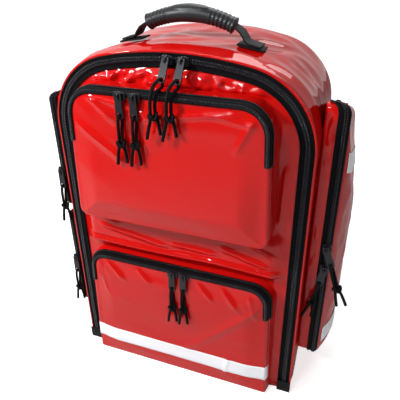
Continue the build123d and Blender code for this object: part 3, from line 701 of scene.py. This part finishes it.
LOWER_FOLDS = (
    (20, 66, 132, 182, 3.2, 12), (-112, 206, -84, 182, 3.8, 7), (-60, 204, -40, 186, 3.2, 6),
    (40, 202, 62, 182, 3.6, 6), (78, 202, 104, 172, 3.8, 7), (-128, 200, -118, 150, 2.6, 7),
    (88, 66, 80, 28, 1.6, 6), (-146, 120, -136, 40, 1.4, 7), (118, 200, 128, 160, 2.0, 5),
)


def lower_face(x, z):
    """Puff and folds of the lower pocket's face."""
    edge = min(lower_half(z) - abs(x), LOWER_TOP - z)
    rim = bend(edge, 3, 36) * bend(z, 0, 34)
    slack = 0.9 * bend(edge, 4, 16) * bend(z, 4, 22) * ridged(x * 0.5 + 71, 8, z * 1.1, 66)
    sag = 3.0 * bend(z, 80, 150) * (1 - bend(z, 180, 214)) * rim
    return 0.6 + 3.4 * rim + sag + slack + bend(edge, 7, 14) * bend(z, 4, 12) * creases(x, z, LOWER_FOLDS)


rows = []
for k in range(8):
    rows.append([])
    for x, z, ox, oz in LOWER:
        depth = LOWER_DEPTH_FOOT + LOWER_DEPTH_GAIN * z / LOWER_TOP
        px, py, pz = lower3d(x, z, depth - (depth - 6.4) * (k / 7))
        wobble = 0.0 if k in (0, 7) else 0.9 * noise.noise(Vector((px, py * 2, pz)) / 17)
        rows[-1].append((px + ox * wobble, py, max(0.3, pz + oz * wobble)))
tray = coated(mesh_piece("lower_pocket_gusset", *grid(rows, closed=True), red, red_inner), CLOTH)
place(tray, "front_cover", "red_tarpaulin", "lower_pocket_tray")
flap = pocket_skin("lower_pocket_face", LOWER, FLAP_EDGE, lambda x, z: (max(-60.0, min(60.0, x)), 105.0), 52,
                   lower3d, lower_face, red, red_inner)
coated(flap, CLOTH)
place(flap, ("front_cover", "lower_flap", (0, -0.124, 0.156), (0, -0.1242, 0.165)), "red_tarpaulin",
      "lower_pocket_flap")
pocket_zip("lower_pocket_zip", part_of(LOWER, lambda x, z: z > 162), lower3d, FRONT_ZIP, "front_cover",
           "lower_flap", ("front_pocket_zip_tapes",), "lower_flap_zip_tape")

silver = shader("reflective_tape", (0.90, 0.93, 0.97), 0.4)
add_bump(silver, "ShaderNodeTexVoronoi", 0.25, 0.0003, Scale=900.0)
TAPE_HEIGHT, TAPE_WALL, TAPE_PROUD = 28, 0.0006, 0.7


def tape_piece(name, points, faces):
    """Reflective tape with its thickness."""
    piece = mesh_piece(name, points, faces, silver, silver)
    apply(piece, "SOLIDIFY", thickness=TAPE_WALL, offset=0)
    return piece


rows = []
for z in [34 + TAPE_HEIGHT * j / 8 for j in range(9)]:
    right, left = 148.2 - 6 * z / LOWER_TOP, 154.2 - 12 * z / LOWER_TOP
    row = [(x - 0.8, y, height) for x, y, height in (lower3d(-left, z, 9.0), lower3d(-left, z, 4.0))]
    for x in [(right - left) / 2 + (right + left) * (i / 150 - 0.5) * 0.997 for i in range(151)]:
        row.append(lower3d(x, z, -lower_face(x, z) - TAPE_PROUD))
    row += [(x + 0.8, y, height) for x, y, height in (lower3d(right, z, 4.0), lower3d(right, z, 9.0))]
    rows.append(row)
stripe = tape_piece("front_reflective_stripe", *grid(rows))
place(stripe, "front_cover", "reflective_tape", "front_reflective_stripe")


# ---------------------------------------------------------------- side pockets
# Tall pocket on the right, two shorter ones on the left: a straight front gusset and a face that bows
# outwards. Each opens round its top, front and foot.
SIDE_FRONT, SIDE_REAR, SIDE_CORNER, FACE_INSET = -74, 75, 16.0, 4.2


def depth_share(y):
    """How far back a place on a side pocket is: 0 at its front edge and 1 at its rear edge."""
    return (y - SIDE_FRONT) / (SIDE_REAR - SIDE_FRONT)


def side_map(side, low, high):
    """From (depth, height, backward) on a side pocket to the bag's frame."""
    def to3d(y, z, back):
        over = max(0.0, z - high + SIDE_CORNER) / SIDE_CORNER
        corner = SIDE_CORNER - SIDE_CORNER * sqrt(max(0.0, 1 - over ** 2))
        return (side * (214.0 - 8.0 * depth_share(y) - back - corner * 0.75), y, fallen(y, z, low, high))
    return to3d


def fallen(y, z, low, high):
    """Height once the pocket's top has been drawn down towards the bag's back."""
    return z - 50.0 * depth_share(y) * bend(z, low + 0.25 * (high - low), high)


def bow(y, z, low, high):
    """How far the outer face bows out of its rim's plane, less towards the gathered top."""
    across = max(0.0, 1 - ((y - 0.5) / 74.5) ** 2)
    full = 20.5 * across * (0.72 + 0.28 * bend(z - low, -8, 12))
    limit = 0.6 + 17.0 * max(0.0, min(1.0, (high - 26 - z) / 134)) + 8.0 * depth_share(y)
    return min(full, limit) if full > limit + 2 else full - max(0.0, full - limit + 2) ** 2 / 8


# Profiles of a side pocket's zip, in the order of a front pocket's.
SIDE_ZIP = (
    [(0.2, 3.9), (1.5, 3.9), (1.7, 9.0), (2.5, 10.4), (2.2, 12.6), (0.2, 13.0)],
    [(0.2, 3.2), (1.5, 3.2), (1.6, 0.4), (0.8, -1.0), (-1.6, -2.4), (-1.8, -1.2), (0.0, 0.2)],
    [(1.2, 1.0), (2.6, 1.2), (3.1, 2.0), (3.1, 3.2), (1.2, 3.6)],
    [(1.2, 3.8), (3.1, 4.2), (3.1, 5.4), (2.6, 6.2), (1.2, 6.4)],
)


def side_pocket(name, side, low, high, *tray_tape_nodes):
    """One side pocket between two heights, with its zip. Gives back the function of its face."""
    to3d = side_map(side, low, high)
    flap_body = name.replace("_pocket", "_flap")
    corners = [(SIDE_REAR, high), (SIDE_FRONT, high), (SIDE_FRONT, low), (SIDE_REAR, low)]
    line = spread(rounded(corners, [9, 13, 13, 9]), 300)

    def face(y, z):
        loose = bend(min(y - SIDE_FRONT, SIDE_REAR - y, z - low, high - z), 3, 20)
        fold = 1.8 * loose * ridged(y * 1.1 + 9, side * 50, z * 0.7, 58)
        return bow(y, z, low, high) + 0.6 + fold + 1.2 * loose * noise.noise(Vector((y, side * 20, z)) / 24)

    rows = []
    for k in range(9):
        t = k / 8
        rows.append([])
        for y, z, oy, oz in line:
            inner, rim = 186.0 - 7.4 * depth_share(y), 210.4 - 8.0 * depth_share(y)
            gather = 1.5 + 1.6 * bend(z, high - 90, high - 20)
            crumple = gather * noise.noise(Vector((y * 2.2, k * 7, z * 0.9)) / 15) * sin(pi * t)
            pucker = 0.0 if k in (0, 8) else crumple
            rows[-1].append((side * (inner + (rim - inner) * t), y + oy * pucker,
                             fallen(y, z + oz * pucker, low, high)))
    tray = mesh_piece(f"{name}_gusset", *grid(rows, closed=True), red, red_inner, flip=side < 0)
    place(coated(tray, CLOTH), "bag", "red_tarpaulin", f"{name}_tray")

    # The flap: its turned-in edge, a rounded rim, and rings drawn in to an upright line.
    rows = [[to3d(y, z, 3.4) for y, z, oy, oz in line], [to3d(y, z, 1.2) for y, z, oy, oz in line]]
    for share, inset in ((0.3, 0.0), (0.6, 0.2), (0.85, 0.8), (0.97, 2.2), (1.0, FACE_INSET)):
        rows.append([to3d(y - oy * inset, z - oz * inset, -share * bow(y, z, low, high) - 0.4 * share)
                     for y, z, oy, oz in line])
    middle, reach, rings = (low + high) / 2, (high - low) / 2 - 45, 36
    for k in range(1, rings + 1):
        t = k / (rings + 0.08)
        rows.append([])
        for y, z, oy, oz in line:
            y, z = y - oy * FACE_INSET, z - oz * FACE_INSET
            core = max(middle - reach, min(middle + reach, z))
            y, z = y + (0.5 - y) * t, z + (core - z) * t
            rows[-1].append(to3d(y, z, -face(y, z)))
    points, faces = grid(rows, closed=True)
    faces += closed_middle((len(rows) - 1) * len(line), len(line), True)
    flap = coated(mesh_piece(f"{name}_face", points, faces, red, red_inner, flip=side < 0), CLOTH)
    fold, foot = side * 0.208, low / 1000
    place(flap, ("bag", flap_body, (fold, 0.0765, foot), (fold, 0.067, foot)), "red_tarpaulin",
          f"{name}_flap")

    run = part_of(line, lambda y, z: y < 66)
    pocket_zip(name, run, to3d, SIDE_ZIP, "bag", flap_body, tray_tape_nodes, f"{flap_body}_zip_tape")
    return face


RIGHT_LOW, RIGHT_HIGH = 70, 480
right_face = side_pocket("right_pocket", 1, RIGHT_LOW, RIGHT_HIGH, "side_pocket_zip_tapes")
side_pocket("left_upper_pocket", -1, 262, 455)
side_pocket("left_lower_pocket", -1, 58, 255)

# Two strips of reflective tape lie across the tall pocket's face.
right_map = side_map(1, RIGHT_LOW, RIGHT_HIGH)
points, faces = [], []
for foot in (90, 388):
    more, quads = grid([[right_map(y, z, -right_face(y, z) - TAPE_PROUD)
                         for y in [-64.0 + 130.0 * i / 50 for i in range(51)]]
                        for z in [foot + TAPE_HEIGHT * j / 8 for j in range(9)]])
    faces += [tuple(len(points) + k for k in quad) for quad in quads]
    points += more
strips = tape_piece("side_reflective_strips", points, faces)
place(strips, "right_flap", "reflective_tape", "side_reflective_strips")


# ---------------------------------------------------------------- zip sliders and pulls
# Gun-metal die castings: a waisted slider, a bail over it and a bevelled tab with a D-shaped eye for the
# cord. The sliders on the front run across, those on the sides run up and down.
metal = shader("slider_metal", (0.02, 0.021, 0.025), 0.32, Metallic=0.6)
add_bump(metal, "ShaderNodeTexNoise", 0.08, 0.0004, Scale=700.0)


def plate(name, outer, holes, thick, bevel, turn, at, made=metal):
    """Flat casting cut from an outline in millimetres, bevelled, turned and moved into place."""
    line = bpy.data.curves.new(name, "CURVE")
    line.dimensions = "2D"
    line.fill_mode = "BOTH"
    for loop in (outer, *holes):
        spline = line.splines.new("POLY")
        spline.points.add(len(loop) - 1)
        for control, (x, y) in zip(spline.points, loop):
            control.co = (x / 1000, y / 1000, 0, 1)
        spline.use_cyclic_u = True
    line.extrude = thick / 2000 - bevel / 1000
    line.bevel_depth = bevel / 1000
    line.offset = -bevel / 1000
    line.bevel_resolution = 1
    piece = add_object(name, line)
    piece.matrix_world = Matrix.Translation(at) @ turn.to_4x4()
    only(piece)
    bpy.ops.object.convert(target="MESH")
    bpy.ops.object.transform_apply(location=True, rotation=True, scale=True)
    piece = bpy.context.object
    piece.name = name
    finish_piece(piece, made)
    only(piece)
    bpy.ops.object.shade_smooth_by_angle(angle=radians(30))
    return piece


def oval(cx, cy, rx, ry, flat=None, count=24):
    """Oval loop, cut straight across at the height flat where that is given."""
    made = [(cx + rx * cos(2 * pi * k / count), cy + ry * sin(2 * pi * k / count)) for k in range(count)]
    return [(x, min(y, flat) if flat is not None else y) for x, y in made]


TAB = rounded([(5.5, -28.0), (4.6, 5.5), (-4.6, 5.5), (-5.5, -28.0)], [3.6, 2.2, 2.2, 3.6])
TAB_HOLES = (oval(0, -22.6, 3.3, 3.4, flat=-20.6), oval(0, 1.2, 2.4, 2.2))
EYE_BELOW_PIVOT, PLATE_THICK, BAIL_RADIUS = 23.0, 2.0, 0.0011
SLIDER = rounded([(6.5, 1.5), (5.2, 8.0), (-5.2, 8.0), (-6.5, 1.5), (-4.6, -8.0), (4.6, -8.0)],
                 [3, 2, 2, 3, 2.2, 2.2])
WAIST = (0.0115, 0.003, 0.0085)
FORWARD, UP = Vector((0, -1, 0)), Vector((0, 0, 1))

# Each slider's place on its tape, and how many degrees its pull stands off the upright.
SEATS = {
    "main_left": ((-6.0, -100.2, 520.0), 35.0),
    "main_right": ((15.0, -100.2, 519.8), 35.0),
    "upper_pocket_left": ((-54.0, -140.2, 482.0), 0.0),
    "upper_pocket_right": ((-34.0, -140.2, 482.0), 0.0),
    "lower_pocket_left": ((-1.0, -127.2, 213.0), 0.0),
    "lower_pocket_right": ((17.0, -127.2, 213.0), 0.0),
    "right_pocket_upper": ((210.5, -75.2, 274.0), 0.0),
    "right_pocket_lower": ((210.5, -75.2, 240.0), 0.0),
    "left_upper_pocket": ((-210.5, -75.2, 325.0), 0.0),
    "left_lower_pocket": ((-210.5, -75.2, 155.0), 0.0),
}
for pull, ((x, face_y, z), slope) in SEATS.items():
    hole, lean = PULLS[pull][:2]
    body = pull + "_zip_pull"
    down = Vector((lean, -tan(radians(slope)), -1)).normalized()
    pivot = Vector(hole) - down * EYE_BELOW_PIVOT
    sideways = Vector((1, 0, lean)).normalized()
    turn = Matrix((sideways, -down, sideways.cross(-down))).transposed()
    tab = plate(f"{pull}_pull_tab", TAB, TAB_HOLES, PLATE_THICK, 0.35, turn, pivot / 1000)
    place(tab, body, "slider_metal")
    # On the front each slider heads away from the other one on its zip. At the sides all head upwards.
    along_x = abs(x) < ZIP_HALF
    heading = Vector((-1 if pull.endswith("left") else 1, 0, 0)) if along_x else UP
    lie = Matrix((-FORWARD.cross(heading), heading, FORWARD)).transposed()
    casting = plate(f"{pull}_slider", SLIDER, (), PLATE_THICK, 0.4, lie, Vector((x, face_y - 3.4, z)) / 1000)
    place(casting, body, "slider_metal", pull + "_slider")
    waist = block(f"{pull}_slider_body", WAIST if along_x else WAIST[::-1],
                  (x / 1000, (face_y - 1.6) / 1000, z / 1000), metal, 0.0008)
    place(waist, body, "slider_metal")
    seat, reach = Vector((x, face_y - 3.0, z)) / 1000, pivot.y - 2.0 - face_y + 3.0
    turns = ((5.2, 0.0), (5.0, reach * 0.75), (2.2, reach), (-2.2, reach), (-5.0, reach * 0.75), (-5.2, 0.0))
    route = [seat + UP * rise * 0.001 + Vector((0, out, 0)) / 1000 for rise, out in turns]
    bail = tube(f"{pull}_bail", route, BAIL_RADIUS)
    only(bail)
    bpy.ops.object.convert(target="MESH")
    place(finish_piece(bpy.context.object, metal), body, "slider_metal")


# ---------------------------------------------------------------- carry handle
# Webbing anchors bar-tacked to the crown, webbing legs that bend between bag and handle, and a moulded
# rubber grip with ribbed ends.
rubber = shader("grip_rubber", (0.014, 0.016, 0.018), 0.42, Specular_IOR_Level=0.3)
add_bump(rubber, "ShaderNodeTexNoise", 0.15, 0.0004, Scale=650.0)
HANDLE_Y, CROWN_TOP, GRIP_HALF = -38, 534.5, 60
ANCHOR = ((-12.5, -0.8), (-12.5, 0.8), (-11.5, 1.5), (-4, 1.7), (4, 1.7), (11.5, 1.5), (12.5, 0.8),
          (12.5, -0.8))
LEG_ROUTE = ((96, 530.2), (88, 532.0), (80, 533.6), (76, 536.4), (73.5, 541.0), (69, 547.0), (62, 551.6),
             (55, 554.6))
for side, name in ((-1, "left"), (1, "right")):
    rows = []
    for x in [side * (66 + 34 * i / 17) for i in range(18)]:
        z = CROWN_TOP - CROWN + sqrt(CROWN ** 2 - x * x) + 2.0
        rows.append([(x, HANDLE_Y + y, z + lift) for y, lift in ANCHOR])
    anchor = loft(f"handle_anchor_{name}", rows, webbing_black, sharp=40)
    place(anchor, "bag", "black_webbing", "handle_anchor_tabs")
    rows = []
    for (x, z), ahead, behind in zip(LEG_ROUTE, LEG_ROUTE[1:] + LEG_ROUTE[-1:], LEG_ROUTE[:1] + LEG_ROUTE):
        dx, dz = ahead[0] - behind[0], ahead[1] - behind[1]
        size = sqrt(dx * dx + dz * dz)
        wide = 12.3 - 2.6 * bend(z, 545, 560)
        rows.append([(side * (x - dz / size * t), HANDLE_Y + y, z + dx / size * t) for y, t in
                     ((-wide, -1), (-wide, 1), (0, 1.15), (wide, 1), (wide, -1), (0, -0.85))])
    leg = loft(f"handle_leg_{name}", rows, webbing_black, sharp=40)
    place(leg, ("bag", "carry_handle", (0, -0.038, 0.534), (0, -0.038, 0.548)), "black_webbing",
          "handle_webbing")
rows = []
for x in range(-GRIP_HALF, GRIP_HALF + 1):
    t = abs(x) / GRIP_HALF
    centre, slope = 565.0 - 13.0 * t * t, -26.0 * x / GRIP_HALF ** 2
    ribbed = bend(abs(x), 27, 30)
    rib = ribbed * (0.9 * max(0.0, sin((abs(x) - 27) * 2 * pi / 5.2)) ** 0.5 - 0.5)
    collar = 0.9 * bend(abs(x), 56.0, 57.0) - 3.4 * bend(abs(x), 59.2, 60.0)
    wide, high = 12.6 - 1.6 * t + rib + collar, 11.0 - 2.2 * t + 0.8 * rib + collar
    rows.append([])
    for a in [2 * pi * k / 48 for k in range(48)]:
        # A raised oval pad lies on top of the grip, a little to the front.
        pad = 0.9 * (1 - bend((x / 25) ** 2 + ((a - 0.6 * pi) / 0.72) ** 2, 0.8, 1.0))
        rows[-1].append((x - slope * high * sin(a), HANDLE_Y + (wide + pad) * cos(a),
                         centre + (high + pad) * sin(a)))
place(loft("handle_grip", rows, rubber), "carry_handle", "grip_rubber", "handle_grip")


# ---------------------------------------------------------------- back pads
# Two tall foam pads and a lumbar pad under black spacer mesh, quilted at their edges and sewn to the back.
# Each face is drawn in to a line along the pad's long way.
mesh_black = shader("black_mesh", (0.016, 0.016, 0.018), 0.78, Sheen_Weight=0.35)
add_bump(mesh_black, "ShaderNodeTexVoronoi", 0.8, 0.0012, Scale=330.0)
PAD_EDGE = ((0.0, 0.0), (0.3, -1.0), (-0.6, -2.0), (-5.0, -1.7))


def back_pad(name, x0, x1, z0, z1):
    """One pad between two sides and two heights."""
    line = spread(rounded([(x1, z1), (x0, z1), (x0, z0), (x1, z0)], [12] * 4), 200)
    tall = z1 - z0 > x1 - x0

    def core(x, z):
        if tall:
            return (x0 + x1) / 2, max(z0 + 60, min(z1 - 60, z))
        return max(x0 + 40, min(x1 - 40, x)), (z0 + z1) / 2

    def foam(x, z):
        edge = min(x - x0, x1 - x, z - z0, z1 - z)
        return 1.6 + 6.6 * bend(edge, 4, 22) + 0.4 * noise.noise(Vector((x, 5, z)) / 20)

    def to3d(x, z, back):
        return (x, BACK_PLANE + 0.2 - back, z)

    pad = pocket_skin(f"back_pad_{name}", line, PAD_EDGE, core, 12, to3d, foam, mesh_black, flip=True,
                      tall=tall)
    apply(pad, "SOLIDIFY", thickness=0.001, offset=-1)
    place(pad, "bag", "black_mesh", "back_pads")


back_pad("left", -140, -12, 150, 430)
back_pad("right", 12, 140, 150, 430)
back_pad("lumbar", -140, 140, 50, 136)


# ---------------------------------------------------------------- shoulder straps
# Padded straps sewn to the top of the back, ladder locks at their feet and adjusting webbing to the base
# corners.
plastic = shader("black_plastic", (0.014, 0.014, 0.015), 0.4)
STRAP_X, STRAP_HALF, ACROSS = 76, 31.0, 64

# A strap's section, as shares of its half-width and its half-thickness, with a bound edge on each side.
RIM = ((0.97, 0.45), (0.88, 0.62), (0.84, 0.72))
TOP_SIDE = ((-0.6, 0.98), (0, 1.04), (0.6, 0.98))
UNDER_SIDE = ((0.6, -0.95), (0, -1.0), (-0.6, -0.95))
STRAP = ((-1, 0), *((-a, t) for a, t in RIM), *TOP_SIDE, *RIM[::-1],
         (1, 0), *((a, -t) for a, t in RIM), *UNDER_SIDE, *((-a, -t) for a, t in RIM[::-1]))
WEBBING = ((-12.5, -1), (-12.5, 1), (0, 1.1), (12.5, 1), (12.5, -1), (0, -0.9))
LOCK_OUTLINE = rounded([(17, 15), (-17, 15), (-17, -15), (17, -15)], [4] * 4)
LOCK_SLOTS = [rounded([(13.1, mid + 3), (-13.1, mid + 3), (-13.1, mid - 3), (13.1, mid - 3)], [1.5] * 4)
              for mid in (-6, 6)]


def arc_through(a, b, c, count):
    """Points on the arc through three points in a plane."""
    (ax, ay), (bx, by), (cx, cy) = a, b, c
    size_a, size_b, size_c = ax * ax + ay * ay, bx * bx + by * by, cx * cx + cy * cy
    d = 2 * (ax * (by - cy) + bx * (cy - ay) + cx * (ay - by))
    ux = (size_a * (by - cy) + size_b * (cy - ay) + size_c * (ay - by)) / d
    uy = (size_a * (cx - bx) + size_b * (ax - cx) + size_c * (bx - ax)) / d
    r = sqrt((ax - ux) ** 2 + (ay - uy) ** 2)
    first, last = atan2(ay - uy, ax - ux), atan2(cy - uy, cx - ux)
    turns = [first + (last - first) * k / (count - 1) for k in range(count)]
    return [(ux + r * cos(a), uy + r * sin(a)) for a in turns]


for side, name in ((-1, "left"), (1, "right")):
    body = f"{name}_strap"
    inner = arc_through((101.0, 472.0), (153.0, 363.5), (131.0, 205.0), ACROSS)
    outer = arc_through((115.0, 472.0), (167.0, 363.5), (145.0, 205.0), ACROSS)
    rows = []
    for k, ((iy, iz), (oy, oz)) in enumerate(zip(inner, outer)):
        end = min(1.0, min(k, ACROSS - 1 - k) / 3)
        wide = STRAP_HALF - (1 - end) * 1.5
        hy, hz = (oy - iy) / 2, (oz - iz) / 2
        rows.append([(side * STRAP_X + a * wide, (iy + oy) / 2 + hy * t * (0.7 + 0.3 * end),
                      (iz + oz) / 2 + hz * t) for a, t in STRAP])
    strap = loft(f"{name}_shoulder_strap", rows, mesh_black)
    place(strap, ("bag", body, (side * 0.076, 0.108, 0.470), (side * 0.076, 0.124, 0.430)), "black_mesh",
          f"{name}_shoulder_strap")

    upright = Matrix(((1, 0, 0), (0, 0, 1), (0, -1, 0))).transposed()
    lock = plate(f"{name}_ladder_lock", LOCK_OUTLINE, LOCK_SLOTS, 7.0, 0.8, upright,
                 Vector((side * STRAP_X, 138.0, 189.7)) / 1000, plastic)
    place(lock, body, "black_plastic", f"{name}_ladder_lock")

    rows = []
    for t in [k / 23 for k in range(24)]:
        x, y, z = side * (STRAP_X + 52 * t), 138 - 34 * t + 1.5 * sin(pi * t), 174.4 + (20.3 - 174.4) * t
        rows.append([(x + a, y + b, z) for a, b in WEBBING])
    web = loft(f"{name}_strap_webbing", rows, webbing_black, sharp=40)
    place(web, ("bag", body, (side * 0.126, 0.105, 0.030), (side * 0.080, 0.135, 0.150)), "black_webbing",
          f"{name}_strap_webbing")

    seam = block(f"{name}_strap_seam", (0.062, 0.007, 0.026), (side * 0.076, 0.1035, 0.4853), webbing_black,
                 0.0025)
    place(seam, "bag", "black_webbing", "strap_anchors")
    foot = block(f"{name}_strap_foot", (0.025, 0.007, 0.013), (side * 0.128, 0.1035, 0.0135), webbing_black,
                 0.0015)
    place(foot, "bag", "black_webbing")


# ---------------------------------------------------------------- inside
# A stiffening board on the base and a padded divider that splits the main compartment in two. The divider
# narrows with the body towards the back.
board_grey = shader("board_plastic", (0.06, 0.06, 0.065), 0.5)
divider_grey = shader("divider_fabric", (0.10, 0.10, 0.11), 0.75, Sheen_Weight=0.2)
add_bump(divider_grey, "ShaderNodeTexWave", 0.3, 0.0005, Scale=300.0)
low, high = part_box("base_board")
size, middle = [b - a for a, b in zip(low, high)], [(a + b) / 2 for a, b in zip(low, high)]
board = block("base_board", size, middle, board_grey, 0.001)
place(board, "bag", "board_plastic", "base_board")
low, high = [[part * 1000 for part in corner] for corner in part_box("divider_shelf")]
rows = []
for z in (low[2], high[2]):
    rows.append([])
    for side in (1, -1):
        for y in (-73.0, 0.0, 75.0, high[1] - 0.5)[::side]:
            rows[-1].append((side * (high[0] - 1.0 - (185.0 - station(y)[0])), y, z))
shelf = loft("divider_shelf", rows, divider_grey)
apply(shelf, "BEVEL", width=0.0012, segments=2)
place(shelf, "bag", "divider_fabric", "divider_shelf")


# ---------------------------------------------------------------- studio
# White floor under a soft key from the upper left, with panels for the tarpaulin to reflect. The floor glows
# for the camera, weakly near the bag so that its shadow shows, and a tenth as much for reflections.
FLOOR_FOR_REFLECTIONS, SURROUND_FRONT, SURROUND_FOR_DIFFUSE = 0.1, 0.12, 0.10


def map_range(nodes, links, socket, start, end, low, high):
    """Map Range node that takes a socket's value from one span to another."""
    made = nodes.new("ShaderNodeMapRange")
    for key, value in (("From Min", start), ("From Max", end), ("To Min", low), ("To Max", high)):
        made.inputs[key].default_value = value
    links.new(socket, made.inputs["Value"])
    return made


floor_white = shader("studio_floor", (0.8, 0.8, 0.8), 0.95, Specular_IOR_Level=0.0)
nodes, links = floor_white.node_tree.nodes, floor_white.node_tree.links
rays = nodes.new("ShaderNodeLightPath")
seen = nodes.new("ShaderNodeMath")
seen.operation = "MULTIPLY_ADD"
links.new(rays.outputs["Is Glossy Ray"], seen.inputs[0])
seen.inputs[1].default_value = FLOOR_FOR_REFLECTIONS
links.new(rays.outputs["Is Camera Ray"], seen.inputs[2])
links.new(seen.outputs["Value"], nodes["Principled BSDF"].inputs["Emission Strength"])
apart = nodes.new("ShaderNodeVectorMath")
apart.operation = "LENGTH"
links.new(nodes.new("ShaderNodeTexCoord").outputs["Object"], apart.inputs[0])
glow = map_range(nodes, links, apart.outputs["Value"], 0.4, 1.1, 0.70, 1.0)
glow.interpolation_type = "SMOOTHSTEP"
links.new(glow.outputs["Result"], nodes["Principled BSDF"].inputs["Emission Color"])
bpy.ops.object.select_all(action="DESELECT")
bpy.ops.mesh.primitive_plane_add(size=12, location=(0, 0, -0.0006))
floor = bpy.context.object
floor.name = "studio_floor"
finish_piece(floor, floor_white)


def softbox(name, at, aim, size, power):
    """Rectangular area light aimed at a point."""
    bpy.ops.object.light_add(type="AREA", location=at)
    lamp = bpy.context.object
    lamp.name = name
    lamp.data.shape = "RECTANGLE"
    lamp.data.size, lamp.data.size_y = size
    lamp.data.energy = power
    lamp.rotation_euler = (Vector(aim) - Vector(at)).to_track_quat("-Z", "Y").to_euler()


softbox("key_above_left", (-0.58, -0.66, 0.98), (-0.08, -0.12, 0.44), (0.12, 0.12), 11)
softbox("window_top", (0.1, 0.8, 1.5), (0, 0, 0.45), (1.2, 0.5), 9)
softbox("window_left", (-1.3, -0.5, 0.9), (0, 0, 0.3), (0.3, 0.9), 3.0)
softbox("window_front", (-0.30, -1.35, 1.55), (0, 0, 0.3), (0.36, 0.05), 9)
softbox("window_right", (0.95, -0.75, 1.0), (0.1, 0, 0.3), (0.08, 0.7), 1.6)
bpy.ops.object.light_add(type="SUN", location=(-1, -1, 2))
day = bpy.context.object
day.name = "soft_day"
day.data.energy = 0.26
day.data.angle = radians(35)
day.rotation_euler = Vector((0.5, 0.6, -1.0)).to_track_quat("-Z", "Y").to_euler()

# The world is white to the camera. Reflections see it white behind the bag and dim in front of it.
world = bpy.data.worlds.new("studio")
bpy.context.scene.world = world
world.use_nodes = True
nodes, links = world.node_tree.nodes, world.node_tree.links
rays = nodes.new("ShaderNodeLightPath")
parts = nodes.new("ShaderNodeSeparateXYZ")
links.new(nodes.new("ShaderNodeTexCoord").outputs["Generated"], parts.inputs["Vector"])
surround = map_range(nodes, links, parts.outputs["Y"], -0.35, 0.35, SURROUND_FRONT, 1.0)
mix = nodes.new("ShaderNodeMix")
mix.inputs["A"].default_value = SURROUND_FOR_DIFFUSE
links.new(rays.outputs["Is Glossy Ray"], mix.inputs["Factor"])
links.new(surround.outputs["Result"], mix.inputs["B"])
seen = nodes.new("ShaderNodeMath")
seen.operation = "MAXIMUM"
links.new(mix.outputs["Result"], seen.inputs[0])
links.new(rays.outputs["Is Camera Ray"], seen.inputs[1])
links.new(seen.outputs["Value"], nodes["Background"].inputs["Color"])
bpy.context.scene.view_settings.view_transform = "Standard"
